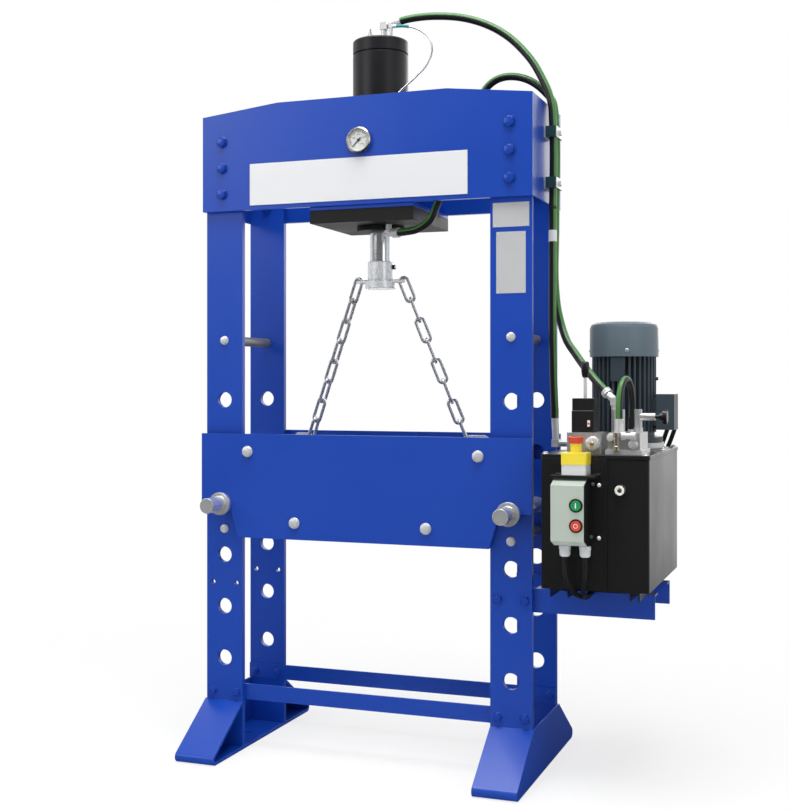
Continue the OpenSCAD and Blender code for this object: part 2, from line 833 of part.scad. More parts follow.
module bracket_arm() {
    low = arm_top - arm_h;
    end_x = side_x + arm_reach;
    difference() {
        union() {
            block([opening_w / 2, -inner_y, low], [end_x, -inner_y + angle_t, arm_top]);
            block([side_x + 5, -inner_y, arm_top - angle_t], [end_x, -inner_y + 45, arm_top]);
        }
        for (s = [-1, 1]) bar_y(m12[2] + bolt_gap, post_x + s * pair_x, -inner_y - 1, arm_z, angle_t + 2);
    }
}

module bracket_arms() {
    color("royalblue") front_and_rear() bracket_arm();
}

// Oil tank on two channel rails, with its lid

module tank_rail(x, w) {
    wall = 4;
    difference() {
        block([x, tank_front, arm_top], [x + w, -tank_front, tank_z]);
        block([x + wall, tank_front - 1, arm_top - 1], [x + w - wall, -tank_front + 1, tank_z - wall]);
    }
}

module tank() {
    corner = 6;
    color([0.08, 0.08, 0.08]) {
        translate([tank_x, tank_front, tank_z]) linear_extrude(tank_h) round_rect(tank_w, tank_depth, corner);
        tank_rail(tank_x + 22, 46);
        tank_rail(tank_x + tank_w - 46, 24);
    }
}

module tank_lid() {
    over = 2;
    color([0.12, 0.12, 0.12]) translate([tank_x - over, tank_front - over, tank_top])
        linear_extrude(lid_t) round_rect(tank_w + 2 * over, tank_depth + 2 * over, 8);
}

// Electric motor: finned housing on a flange, fan under a vented cover, terminal box

fin_count = 36;

module motor_fins(r_root, r_tip) {
    half = 360 / fin_count * 0.17;
    polygon([for (i = [0:fin_count - 1], k = [[r_root, -2.2], [r_tip, -1], [r_tip, 1], [r_root, 2.2]])
        let (a = 360 * i / fin_count + k[1] * half) [k[0] * cos(a), k[0] * sin(a)]]);
}

module motor_housing() {
    shaft_bore = 9;
    color("slategray") translate([motor_x, motor_y, 0]) difference() {
        union() {
            translate([0, 0, lid_top]) cylinder(r = 80, h = adapter_h);
            translate([0, 0, lid_top + adapter_h]) cylinder(r = 100, h = flange_t);
            translate([0, 0, motor_z]) cylinder(r = motor_r - 4, h = 12);
            translate([0, 0, motor_z + 12]) linear_extrude(motor_h - 22) motor_fins(motor_r - 16, motor_r);
            translate([0, 0, motor_top - 10]) cylinder(r = motor_r - 1, h = 10);
            block([-20, -motor_r - 1, motor_top - 84], [17, -motor_r + 22, motor_top - 22]);
        }
        translate([0, 0, motor_top - 30]) cylinder(r = shaft_bore, h = 31);
    }
}

module fan_cover() {
    r = fan_cover_d / 2;
    wall = 2;
    dome = 16;
    skirt = 20;
    screw_z = 16;
    screw_turn = 15;
    color("slategray") translate([motor_x, motor_y, motor_top - skirt]) difference() {
        rotate_extrude() polygon([[r - wall, 0], [r, 0], [r, skirt + fan_cover_h - dome],
            [r - 4, skirt + fan_cover_h - 6], [r - dome, skirt + fan_cover_h], [0, skirt + fan_cover_h],
            [0, skirt + fan_cover_h - wall], [r - dome - 1, skirt + fan_cover_h - wall],
            [r - 4 - wall, skirt + fan_cover_h - 8], [r - wall, skirt + fan_cover_h - dome]]);
        for (i = [0:11]) rotate([0, 0, 30 * i])
            block([24, -4, skirt + fan_cover_h - 6], [r - dome - 8, 4, skirt + fan_cover_h + 1]);
        for (i = [0:3]) rotate([0, 0, screw_turn + 90 * i]) bar_x(2.5, r - 6, 0, screw_z, 12);
    }
    color("slategray") translate([motor_x, motor_y, motor_top - skirt])
        for (i = [0:3]) rotate([0, 0, screw_turn + 90 * i]) bar_x(2.2, motor_r - 1, 0, screw_z, r - motor_r + 3);
}

module motor_fan() {
    disc_r = fan_cover_d / 2 - 20;
    disc_z = 8;
    color("dimgray") translate([motor_x, motor_y, motor_top]) {
        translate([0, 0, -29]) cylinder(r = 9 - running, h = 60);
        translate([0, 0, disc_z]) cylinder(r = 22, h = 34);
        translate([0, 0, disc_z]) cylinder(r = disc_r, h = 4);
        for (i = [0:6]) rotate([0, 0, 360 / 7 * i]) block([15, -1.5, disc_z + 2], [disc_r - 3, 1.5, disc_z + 30]);
    }
}

module terminal_box() {
    box_w = 46;
    box_h = 92;
    neck_half = 26;
    color("slategray") {
        block([box_x, motor_y - box_half, box_z], [box_x + box_w, motor_y + box_half, box_z + box_h]);
        difference() {
            block([motor_x + motor_r - 12, motor_y - neck_half, box_z + 10],
                [box_x + 1, motor_y + neck_half, box_z + box_h - 10]);
            translate([motor_x, motor_y, box_z]) cylinder(r = motor_r + seat, h = box_h);
        }
        for (x = box_glands) bar_y(9, box_x + x, motor_y + box_half, box_gland_z, box_gland_len);
    }
}

// Manifold on the lid: the lever valve's block, and the block with the return port and the relief valve

function return_port() = beyond(return_route, 27);

module manifold() {
    relief_r = 9;
    nut_h = 12;
    valve_seat_rear = valve_y + 36;
    color("silver") {
        block([valve_block[0], block_front, lid_top], [valve_block[1], valve_block_rear, block_z]);
        block([valve_block[0], block_front, block_z], [valve_block[1], valve_seat_rear, port_z]);
        block([return_block[0], block_front, lid_top], [return_block[1], return_block_rear, port_z]);
        translate([return_port()[0] + 8, return_port()[1], port_z]) cylinder(r = 16, h = return_body_h);
        translate([relief_x, relief_y, port_z]) cylinder(r = 11, h = nut_h, $fn = 6);
        translate([relief_x, relief_y, port_z + nut_h]) cylinder(r = relief_r, h = 44);
        difference() {
            bar_x(relief_r, relief_x, relief_y, relief_z, 40);
            bar_x(4 + running, relief_x + 20, relief_y, relief_z, 21);
        }
    }
}

module relief_knob() {
    knob_t = 11;
    color([0.05, 0.05, 0.05]) {
        bar_x(4, relief_x + 21, relief_y, relief_z, knob_x - relief_x - 20);
        bar_x(15, knob_x, relief_y, relief_z, knob_t);
        bar_x(8, knob_x - 8, relief_y, relief_z, 9);
        for (i = [0:7]) translate([knob_x + 1, relief_y, relief_z]) rotate([45 * i, 0, 0])
            block([0, -2.5, 12], [knob_t - 2, 2.5, 17]);
    }
}

// Lever valve: body with a slotted top, and the hand lever that rocks in the slot

lever_boss_r = 9;
lever_boss_w = 20;

module lever_valve() {
    top = port_z + valve_h;
    half = valve_w / 2;
    color([0.06, 0.06, 0.06]) difference() {
        union() {
            block([valve_x - half, valve_y - 30, port_z], [valve_x + half, valve_y + 30, top - 30]);
            block([valve_x - half, valve_y - 24, top - 30], [valve_x + half, valve_y + 24, top]);
        }
        block([valve_x - lever_boss_w / 2 - seat, valve_y - lever_boss_r - seat, lever_z - lever_boss_r - seat],
            [valve_x + lever_boss_w / 2 + seat, valve_y + lever_boss_r + seat, top + 1]);
    }
}

module valve_lever() {
    rod_top = lever_z + 66;
    color([0.06, 0.06, 0.06]) {
        bar_x(lever_boss_r, valve_x - lever_boss_w / 2, valve_y, lever_z, lever_boss_w);
        translate([valve_x, valve_y, lever_z]) cylinder(r = 4, h = rod_top - lever_z);
        translate([valve_x, valve_y, rod_top - 4]) rotate_extrude()
            polygon([[0, 0], [6, 0], [9, 8], [10, 30], [8, 37], [0, 39]]);
    }
}

// Controls on the tank's front: back plate with a shelf, motor starter, buttons and emergency stop

module control_plate() {
    shelf_left = starter_x - starter_w / 2 - 6;
    color([0.06, 0.06, 0.06]) {
        block([tank_x + 2, plate_front, tank_z], [tank_x + 160, tank_front, tank_top]);
        block([shelf_left, estop_y - estop_w / 2 - 2, starter_top], [shelf_left + shelf_w, tank_front, estop_z]);
    }
}

// Front of the starter seen from its side, set back by t: sloped at the top and the bottom
function starter_front(t) = let (
    drop = t * norm([cover_depth, cover_slope]) / cover_depth,
    front_drop = drop + cover_slope * (1 - t / cover_depth))
    [[base_front, starter_z + drop], [cover_front + t, starter_z + front_drop],
    [cover_front + t, starter_top - front_drop], [base_front, starter_top - drop]];

// Outline carried across the starter's width, drawn from the height of its foot
module starter_solid(side_outline, foot = 0) {
    translate([starter_x - starter_w / 2, 0, foot]) rotate([90, 0, 90])
        linear_extrude(starter_w) polygon([for (p = side_outline) [p[0], p[1] - foot]]);
}

module starter_base() {
    nose = starter_front(cover_t);
    color([0.09, 0.09, 0.09]) difference() {
        union() {
            starter_solid(concat([[plate_front, starter_z], [base_front, starter_z]], nose,
                [[base_front, starter_top], [plate_front, starter_top]]), starter_z);
            for (s = [-1, 1]) translate([gland_x + s * gland_pitch, gland_y, starter_z]) mirror([0, 0, 1]) {
                cylinder(r = gland_nut_r + 1.5, h = gland_len - gland_nut_h, $fn = 6);
                translate([0, 0, gland_len - gland_nut_h]) cylinder(r = gland_nut_r, h = gland_nut_h);
            }
        }
        for (z = [start_z, stop_z]) {
            bar_y(button_d / 2 + seat, button_x, cover_front, z, cap_in + button_travel + 1);
            bar_y(button_d / 2 - 2 + seat, button_x, cover_front, z, cap_in + stem_len + button_travel + 1);
        }
    }
}

// Cover: one bent sheet over the starter's front
module starter_cover() {
    inside = starter_front(cover_t);
    color("darkseagreen") difference() {
        starter_solid(concat(starter_front(0), [for (i = [3:-1:0]) inside[i]]));
        for (z = [start_z, stop_z]) bar_y(button_d / 2 + seat, button_x, cover_front - 1, z, cover_t + 2);
    }
}

module push_button(z) {
    proud = 5;
    bar_y(button_d / 2, button_x, cover_front - proud, z, proud + cap_in);
    bar_y(button_d / 2 - 2, button_x, cover_front, z, cap_in + stem_len);
}

module start_button() {
    color("green") push_button(start_z);
}

module stop_button() {
    color("red") push_button(stop_z);
}

module estop_box() {
    half = estop_w / 2;
    color("gold") translate([estop_x, estop_y, estop_z]) difference() {
        union() {
            translate([-half, -half, 0]) linear_extrude(estop_base_h) round_rect(estop_w, estop_w, 4);
            translate([-half - 1, -half - 1, estop_base_h])
                linear_extrude(estop_lid_h) round_rect(estop_w + 2, estop_w + 2, 5);
            translate([0, 0, estop_base_h + estop_lid_h]) cylinder(r = neck_r, h = neck_h);
        }
        translate([0, 0, estop_base_h]) cylinder(r = 8 + seat, h = 100);
    }
}

module estop_button() {
    room = button_travel + 1;
    inside = neck_r + bolt_gap;
    r = mushroom_d / 2;
    color("red") translate([estop_x, estop_y, neck_top]) rotate_extrude() polygon([
        [0, -40], [8, -40], [8, room], [inside, room], [inside, -1], [inside + 1.4, -1],
        [r - 1, 12], [r, 13.5], [r - 1.5, 15], [0, 15.5]]);
}

// Hoses, gauge line, cables, and the fittings and clamps that hold them

module pressure_hose() {
    color("darkgreen") tube(pressure_route, hose_r, [0, 1, 0]);
}

module return_hose() {
    color("darkgreen") tube(return_route, hose_r, [0, 1, 0]);
}

module loop_hose() {
    color("darkgreen") tube(loop_route, loop_r, [1, 0, 0]);
}

module gauge_capillary() {
    color("silver") tube(capillary_route, capillary_r, [0, 1, 0], 8);
}

module control_cables() {
    color([0.05, 0.05, 0.05]) for (route = cable_routes) tube(route, cable_r, [1, 0, 0], 8);
}

// Forged elbow: two round legs that start in a square body at the corner
module elbow(from, corner, to, r) {
    body = 1.08 * r;
    for (p = [from, to]) let (v = p - corner, h = norm(v))
        translate(corner) rotate([0, acos(v[2] / h), atan2(v[1], v[0])]) cylinder(r = r, h = h);
    block(corner - body * [1, 1, 1], corner + body * [1, 1, 1]);
}

// Elbow from a level face at height z up or down to the end of a hose
module hose_elbow(z, corner, end, r) {
    elbow([corner[0], corner[1], z], corner, end, r);
}

module fittings() {
    pump_port = [valve_block[0], last(pressure_route)[1], block_z - 12];
    pump_corner = beyond(pressure_route, last(pressure_route)[2] - pump_port[2]);
    color("silver") {
        hose_elbow(cap_top, before(pressure_route, 30), pressure_route[0], 9);
        translate([-30, 0, cap_top]) cylinder(r = 9, h = 22, $fn = 6);
        hose_elbow(cap_top, before(capillary_route, 16), capillary_route[0], 5);
        hose_elbow(plate_z, before(return_route, 17), return_route[0], 8);
        hose_elbow(port_z + return_body_h, return_port(), last(return_route), 9);
        elbow(last(pressure_route), pump_corner, pump_port, 9);
        for (p = [loop_route[0], last(loop_route)])
            translate([p[0], p[1], port_z]) cylinder(r = 11, h = p[2] - port_z);
        bar_y(13, tank_x + 190, tank_front - 9, tank_z + 240, 9);
        for (z = clamp_heights) {
            block([crown_half, clamp_y[0] + 4, z - clamp_half], [clamp_root, clamp_y[1] - 4, z + clamp_half]);
            block([clamp_x, clamp_y[0] + 2, z - clamp_half + 1], [clamp_x + 2, clamp_y[1] - 2, z + clamp_half - 1]);
            bar_x(7, clamp_x, (clamp_y[0] + clamp_y[1]) / 2, z, 8);
        }
    }
}

// Hose clamps: plastic blocks between a weld plate on the crown's right side and a cover plate

clamp_root = crown_half + 5;
clamp_x = crown_half + 31.5;
clamp_half = 14;
clamp_y = [-38, 30];
clamp_heights = [crown_z + 48, crown_z + 178];

module hose_clamp(z) {
    hose_holes = [-20, 12];
    difference() {
        block([clamp_root, clamp_y[0], z - clamp_half], [clamp_x, clamp_y[1], z + clamp_half]);
        for (y = hose_holes) translate([hose_x, y, z - clamp_half - 1])
            cylinder(r = hose_r + seat, h = 2 * clamp_half + 2);
    }
}

module hose_clamps() {
    color("darkgreen") for (z = clamp_heights) hose_clamp(z);
}

left_foot();
right_foot();
left_posts();
right_posts();
ties();
column_spacers();
zinc_bolts();
frame_bolts();
crown_front_plate();
crown_rear_plate();
crown_side_plates();
crown_pad();
cylinder_plate();
cylinder_barrel();
cylinder_cap();
cylinder_gland();
sign_panel();
data_plates();
gauge_case();
gauge_glass();
gauge_needle();
table_plates();
table_spacers();
left_pin();
right_pin();
bracket_arms();
tank();
tank_lid();
motor_housing();
fan_cover();
motor_fan();
terminal_box();
manifold();
lever_valve();
valve_lever();
relief_knob();
control_plate();
starter_base();
starter_cover();
start_button();
stop_button();
estop_box();
estop_button();
pressure_hose();
return_hose();
loop_hose();
gauge_capillary();
fittings();
hose_clamps();
control_cables();
piston_rod();
ram_head();
left_chain(1);  // left_chain_1
left_chain(2);  // left_chain_2
left_chain(3);  // left_chain_3
left_chain(4);  // left_chain_4
right_chain(1);  // right_chain_1
right_chain(2);  // right_chain_2
right_chain(3);  // right_chain_3
right_chain(4);  // right_chain_4
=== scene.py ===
# %% [markdown]
# # A workshop hydraulic press
# The imported solids already have the press's shapes and sizes, so they are loaded first and never moved.
# Everything after this cell dresses them: softer edges, real bolt heads, chain links, striped hoses and
# finishes.

# %% Load the solids
import json
import math

import bmesh
import bpy
import numpy as np
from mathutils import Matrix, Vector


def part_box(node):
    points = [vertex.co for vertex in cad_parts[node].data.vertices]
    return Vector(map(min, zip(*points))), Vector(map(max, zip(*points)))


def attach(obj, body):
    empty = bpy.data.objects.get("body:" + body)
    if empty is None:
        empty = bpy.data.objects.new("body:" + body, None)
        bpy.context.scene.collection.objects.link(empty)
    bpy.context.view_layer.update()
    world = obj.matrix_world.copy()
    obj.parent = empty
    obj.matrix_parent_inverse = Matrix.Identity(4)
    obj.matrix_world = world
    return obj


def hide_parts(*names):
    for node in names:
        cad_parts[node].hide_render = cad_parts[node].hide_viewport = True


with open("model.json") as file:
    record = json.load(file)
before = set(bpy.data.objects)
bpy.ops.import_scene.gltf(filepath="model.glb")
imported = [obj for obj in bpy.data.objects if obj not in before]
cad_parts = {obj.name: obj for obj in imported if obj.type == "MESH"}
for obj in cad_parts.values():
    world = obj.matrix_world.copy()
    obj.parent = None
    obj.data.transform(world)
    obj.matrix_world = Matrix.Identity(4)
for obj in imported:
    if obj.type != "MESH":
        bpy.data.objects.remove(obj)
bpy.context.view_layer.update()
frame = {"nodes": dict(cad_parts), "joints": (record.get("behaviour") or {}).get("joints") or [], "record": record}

MM = 0.001
nodes = frame["nodes"]
body_of = {node: body for body, names in frame["record"]["behaviour"]["bodies"].items() for node in names}
joint = {row["name"]: row for row in frame["joints"]}


# %% New objects
def add_object(name, data):
    """A new object around a mesh, a curve, a lamp or a camera, linked to the scene."""
    made = bpy.data.objects.new(name, data)
    bpy.context.scene.collection.objects.link(made)
    return made


# %% [markdown]
# ## Camera
# The photograph was taken level, a metre above the floor, from the right of the press's front.
# A camera could be set by eye, but straight edges of the frame gave its place and lens, so they are written
# here.
# The small shift stands for a lens set a little low, so the camera needn't tilt and upright edges stay upright.

# %% Camera
IMAGE_H = 810
FOCAL_PX = 1269.27
SENSOR = 36
RISE_PX = -23.23
camera = add_object("camera", bpy.data.cameras.new("camera"))
camera.location = (1.23612, -3.20855, 0.9948)
camera.rotation_euler = (math.radians(90), 0, math.radians(20.47))
camera.data.sensor_width = SENSOR
camera.data.lens = FOCAL_PX / IMAGE_H * SENSOR
camera.data.shift_y = RISE_PX / IMAGE_H
bpy.context.scene.camera = camera
bpy.context.scene.view_settings.view_transform = "Standard"
print("lens", round(camera.data.lens, 2), "mm")

# %% [markdown]
# ## Studio
# A product studio has a white sweep behind the object, a darker room behind the camera and large soft lamps.
# White on all sides would be simpler, but metal needs something dark to mirror. So rays from the camera or
# through glass see plain white, rays off metal and paint see a sweep that darkens towards the camera, and
# all other rays see a dim room.
# The floor gives back part of its own light, so it looks white and still keeps a soft shadow under the feet.
# In paint and metal the floor is dim close to the press, as painted shade standing for the press's shadow,
# and towards the camera's room, and white further back.


# %% Nodes in a tree
def node_in(tree, kind, **values):
    """Adds a node of a kind to a tree and sets its inputs and properties by name."""
    made = tree.nodes.new(kind)
    for name, value in values.items():
        socket = name.replace("_", " ").title()
        if socket in made.inputs:
            made.inputs[socket].default_value = value
        else:
            setattr(made, name, value)
    return made


def ramp(tree, start, end, low, high, smooth=True):
    """A node that carries values from start..end to low..high, softly at both ends or in a straight line."""
    kind = "SMOOTHSTEP" if smooth else "LINEAR"
    return node_in(tree, "ShaderNodeMapRange", interpolation_type=kind, from_min=start, from_max=end,
                   to_min=low, to_max=high)


def join(tree, *pairs):
    """Links output sockets to input sockets, pair by pair."""
    for start, end in pairs:
        tree.links.new(start, end)


# %% Room
FRONT_GLOW, ROOM_GLOW = 0.10, 0.36
world = bpy.data.worlds.new("studio")
bpy.context.scene.world = world
world.use_nodes = True
room = world.node_tree
room.nodes.clear()
place = node_in(room, "ShaderNodeTexCoord")
split = node_in(room, "ShaderNodeSeparateXYZ")
sweep = ramp(room, -0.75, 0.35, FRONT_GLOW, 1.0)
seen = node_in(room, "ShaderNodeLightPath")
seen_or_glass = node_in(room, "ShaderNodeMath", operation="MAXIMUM")
glow = node_in(room, "ShaderNodeBackground", strength=1.0)
white = node_in(room, "ShaderNodeBackground", color=(1, 1, 1, 1), strength=1.0)
dim = node_in(room, "ShaderNodeBackground", color=(0.97, 0.98, 1, 1), strength=ROOM_GLOW)
pick_gloss = node_in(room, "ShaderNodeMixShader")
pick_seen = node_in(room, "ShaderNodeMixShader")
out = node_in(room, "ShaderNodeOutputWorld")
join(room, (place.outputs["Generated"], split.inputs[0]), (split.outputs["Y"], sweep.inputs["Value"]),
     (sweep.outputs["Result"], glow.inputs["Color"]), (seen.outputs["Is Glossy Ray"], pick_gloss.inputs[0]),
     (dim.outputs[0], pick_gloss.inputs[1]), (glow.outputs[0], pick_gloss.inputs[2]))
join(room, (seen.outputs["Is Camera Ray"], seen_or_glass.inputs[0]),
     (seen.outputs["Is Transmission Ray"], seen_or_glass.inputs[1]),
     (seen_or_glass.outputs[0], pick_seen.inputs[0]), (pick_gloss.outputs[0], pick_seen.inputs[1]),
     (white.outputs[0], pick_seen.inputs[2]), (pick_seen.outputs[0], out.inputs["Surface"]))
print("room nodes", len(room.nodes))

# %% Floor
FLOOR_HALF = 14.0
floor_mesh = bpy.data.meshes.new("floor")
corners = [(-FLOOR_HALF, -FLOOR_HALF, 0), (FLOOR_HALF, -FLOOR_HALF, 0),
           (FLOOR_HALF, FLOOR_HALF, 0), (-FLOOR_HALF, FLOOR_HALF, 0)]
floor_mesh.from_pydata(corners, [], [(0, 1, 2, 3)])
floor = add_object("floor", floor_mesh)
sheen = bpy.data.materials.new("white_sweep")
sheen.use_nodes = True
floor_mesh.materials.append(sheen)
tree = sheen.node_tree
tree.nodes.clear()
path = node_in(tree, "ShaderNodeLightPath")
spot = node_in(tree, "ShaderNodeTexCoord")
away = node_in(tree, "ShaderNodeVectorMath", operation="LENGTH")
join(tree, (spot.outputs["Object"], away.inputs[0]))
print("floor", 2 * FLOOR_HALF, "m wide")

# %% Floor as the camera sees it
cloth = node_in(tree, "ShaderNodeBsdfDiffuse", color=(0.86, 0.86, 0.86, 1))
light = node_in(tree, "ShaderNodeEmission", color=(1, 1, 1, 1), strength=1.0)
sees = node_in(tree, "ShaderNodeMath", operation="MAXIMUM")
share = node_in(tree, "ShaderNodeMath", operation="MULTIPLY")
fade = ramp(tree, 0.9, 2.6, 0.72, 1.0)
blend = node_in(tree, "ShaderNodeMixShader")
join(tree, (path.outputs["Is Camera Ray"], sees.inputs[0]),
     (path.outputs["Is Transmission Ray"], sees.inputs[1]),
     (sees.outputs[0], share.inputs[0]), (away.outputs["Value"], fade.inputs["Value"]),
     (fade.outputs["Result"], share.inputs[1]), (share.outputs[0], blend.inputs[0]),
     (cloth.outputs[0], blend.inputs[1]), (light.outputs[0], blend.inputs[2]))
print("camera's floor nodes", len(tree.nodes))

# %% Floor as paint and metal mirror it
mirrored = node_in(tree, "ShaderNodeEmission", color=(1, 1, 1, 1))
# Painted shade: close to the press the mirrored floor glows less, standing in for the press's shadow on it
press_shade_ramp = ramp(tree, 0.8, 6.0, FRONT_GLOW, 1.0)
ahead = ramp(tree, -0.8, 1.2, FRONT_GLOW, 1.0)
parts = node_in(tree, "ShaderNodeSeparateXYZ")
level = node_in(tree, "ShaderNodeMath", operation="MULTIPLY")
pick_mirrored = node_in(tree, "ShaderNodeMixShader")
out = node_in(tree, "ShaderNodeOutputMaterial")
join(tree, (away.outputs["Value"], press_shade_ramp.inputs["Value"]), (spot.outputs["Object"], parts.inputs[0]),
     (parts.outputs["Y"], ahead.inputs["Value"]), (press_shade_ramp.outputs["Result"], level.inputs[0]),
     (ahead.outputs["Result"], level.inputs[1]), (level.outputs[0], mirrored.inputs["Strength"]))
join(tree, (path.outputs["Is Glossy Ray"], pick_mirrored.inputs[0]),
     (blend.outputs[0], pick_mirrored.inputs[1]), (mirrored.outputs[0], pick_mirrored.inputs[2]),
     (pick_mirrored.outputs[0], out.inputs["Surface"]))
print("all floor nodes", len(tree.nodes))


# %% Lamps
def soft_lamp(name, place, aim, width, height, watts):
    """An area lamp at a place, turned to look at a point."""
    lamp = bpy.data.lights.new(name, "AREA")
    lamp.shape = "RECTANGLE"
    lamp.size, lamp.size_y, lamp.energy = width, height, watts
    holder = add_object(name, lamp)
    holder.location = place
    look = np.array(aim, float) - np.array(place, float)
    turn = math.atan2(-look[0], look[1])
    tilt = math.atan2(math.hypot(look[0], look[1]), -look[2])
    holder.rotation_euler = (tilt, 0, turn)


soft_lamp("lamp_left", (-3.6, -4.2, 3.3), (0.0, 0.0, 1.0), 3.0, 2.4, 60)
soft_lamp("lamp_top", (0.2, -1.4, 6.0), (0.2, 0.0, 0.8), 4.0, 3.0, 330)
soft_lamp("lamp_right", (3.6, -2.6, 2.2), (0.4, 0.0, 0.9), 1.8, 2.4, 20)
soft_lamp("lamp_rear", (0.5, 4.6, 2.6), (0.0, 0.0, 1.0), 3.0, 2.6, 50)

# %% [markdown]
# ## Finishes
# Flat colours would look drawn, so every finish is one small recipe: a colour that drifts a little over the
# piece, a roughness that drifts with it and a fine bump, all from noise on the piece's coordinates in metres.
# Enamel, zinc, chrome and moulded plastic differ in metalness, gloss and the size and stretch of that noise.


# %% Finish recipe
finishes = {}


def finish(name, colour, rough, metal=0.0, drift=0.06, patch=0.22, grain=0.003, depth=0.00001,
           stretch=(1, 1, 1), rough_drift=0.05, specular=0.5):
    """Colour times 1 - drift to 1 + drift over patches, roughness plus or minus rough_drift over the same
    patches, and a bump of a depth in metres from noise cells of a given size, stretched along an axis."""
    material = bpy.data.materials.new(name)
    material.use_nodes = True
    tree = material.node_tree
    shader = tree.nodes["Principled BSDF"]
    shader.inputs["Metallic"].default_value = metal
    shader.inputs["Specular IOR Level"].default_value = specular
    spot = node_in(tree, "ShaderNodeTexCoord")
    pull = node_in(tree, "ShaderNodeMapping", scale=stretch)
    broad = node_in(tree, "ShaderNodeTexNoise", scale=1 / patch, detail=4.0)
    fine = node_in(tree, "ShaderNodeTexNoise", scale=1 / grain, detail=3.0)
    tint = node_in(tree, "ShaderNodeMix", data_type="RGBA")
    low, high = (tuple(min(1.0, c * f) for c in colour) + (1,) for f in (1 - drift, 1 + drift))
    tint.inputs[6].default_value = low
    tint.inputs[7].default_value = high
    gloss = ramp(tree, 0.3, 0.7, max(0.02, rough - rough_drift), rough + rough_drift, smooth=False)
    bump = node_in(tree, "ShaderNodeBump", strength=1.0, distance=depth)
    join(tree, (spot.outputs["Object"], broad.inputs["Vector"]),
         (spot.outputs["Object"], pull.inputs["Vector"]),
         (pull.outputs[0], fine.inputs["Vector"]), (broad.outputs["Fac"], tint.inputs[0]),
         (tint.outputs[2], shader.inputs["Base Color"]), (broad.outputs["Fac"], gloss.inputs["Value"]),
         (gloss.outputs[0], shader.inputs["Roughness"]), (fine.outputs["Fac"], bump.inputs["Height"]),
         (bump.outputs[0], shader.inputs["Normal"]))
    finishes[name] = material
    return material


# %% Metals
finish("zinc", (0.80, 0.81, 0.81), 0.32, metal=0.45, drift=0.08, patch=0.02, grain=0.0015)
finish("pin_steel", (0.82, 0.83, 0.83), 0.24, metal=0.72, drift=0.04, patch=0.05, stretch=(1, 8, 1))
finish("chain_zinc", (0.74, 0.75, 0.76), 0.24, metal=0.75, drift=0.08, patch=0.012, grain=0.002)
finish("rod_chrome", (0.80, 0.81, 0.82), 0.17, metal=0.85, drift=0.03, patch=0.1, grain=0.0008,
       depth=0.000002, stretch=(1, 1, 6), rough_drift=0.03)
finish("head_steel", (0.92, 0.94, 0.95), 0.28, metal=0.28, drift=0.05, patch=0.03, grain=0.0015,
       stretch=(1, 1, 5))
finish("spacer_grey", (0.24, 0.24, 0.245), 0.40, metal=0.4, drift=0.1, patch=0.05, grain=0.002)
finish("raw_steel", (0.014, 0.0135, 0.0135), 0.50, metal=0.1, drift=0.25, patch=0.06, grain=0.004,
       stretch=(8, 1, 1), specular=0.3)
finish("block_steel", (0.60, 0.60, 0.60), 0.36, metal=0.7, drift=0.06, patch=0.04, grain=0.002,
       stretch=(1, 6, 1))
finish("brass", (0.72, 0.52, 0.20), 0.30, metal=1.0, drift=0.08, patch=0.02)
finish("gauge_steel", (0.72, 0.68, 0.60), 0.26, metal=1.0, drift=0.05, patch=0.03)
finish("plate_silver", (0.58, 0.59, 0.60), 0.40, metal=0.2, drift=0.03, patch=0.05, stretch=(1, 1, 12))
print("metals:", sorted(finishes))

# %% Paints, plastics and rubber
BLUE = (0.0045, 0.055, 0.410)
finish("frame_blue", BLUE, 0.33, drift=0.07, patch=0.35, grain=0.0035, depth=0.000012, rough_drift=0.04)
finish("bolt_blue", tuple(0.9 * c for c in BLUE), 0.28, drift=0.08, patch=0.03, grain=0.003, depth=0.00002)
finish("cylinder_black", (0.010, 0.010, 0.012), 0.38, specular=0.35, drift=0.15, patch=0.12, grain=0.003)
finish("tank_black", (0.011, 0.011, 0.012), 0.30, drift=0.12, patch=0.2, grain=0.003, depth=0.000012)
finish("motor_grey", (0.050, 0.068, 0.084), 0.44, drift=0.08, patch=0.08, grain=0.002, depth=0.00002,
       specular=0.25)
finish("cover_grey", (0.120, 0.158, 0.185), 0.36, drift=0.05, patch=0.1, grain=0.002, depth=0.000015,
       specular=0.3)
finish("fan_plastic", (0.02, 0.02, 0.022), 0.5, drift=0.1, patch=0.05)
finish("valve_black", (0.009, 0.009, 0.010), 0.40, drift=0.15, patch=0.04, grain=0.002, depth=0.00003)
finish("sign_white", (0.76, 0.765, 0.78), 0.34, drift=0.015, patch=0.2, depth=0.000003)
finish("dial_white", (0.85, 0.85, 0.83), 0.5, drift=0.02, patch=0.02, depth=0.000002)
finish("needle_black", (0.01, 0.01, 0.01), 0.45, drift=0.1, patch=0.01)
finish("starter_green", (0.47, 0.53, 0.46), 0.42, drift=0.03, patch=0.05, grain=0.0012, depth=0.00003)
finish("starter_black", (0.012, 0.012, 0.013), 0.42, drift=0.12, patch=0.04, grain=0.0012, depth=0.00003)
finish("gland_grey", (0.62, 0.64, 0.65), 0.42, drift=0.04, patch=0.02, grain=0.001)
finish("button_green", (0.012, 0.30, 0.10), 0.34, drift=0.05, patch=0.02)
finish("button_red", (0.70, 0.072, 0.035), 0.34, drift=0.06, patch=0.02)
finish("mark_white", (0.85, 0.85, 0.85), 0.45, drift=0.02, patch=0.01)
finish("estop_yellow", (0.88, 0.70, 0.045), 0.36, drift=0.04, patch=0.04, grain=0.001)
finish("estop_grey", (0.66, 0.67, 0.68), 0.42, drift=0.03, patch=0.04, grain=0.001)
finish("knob_black", (0.010, 0.010, 0.010), 0.28, drift=0.1, patch=0.02)
finish("cable_black", (0.012, 0.012, 0.013), 0.46, drift=0.12, patch=0.03)
finish("clamp_green", (0.012, 0.050, 0.050), 0.40, drift=0.08, patch=0.03, grain=0.001, depth=0.00002)
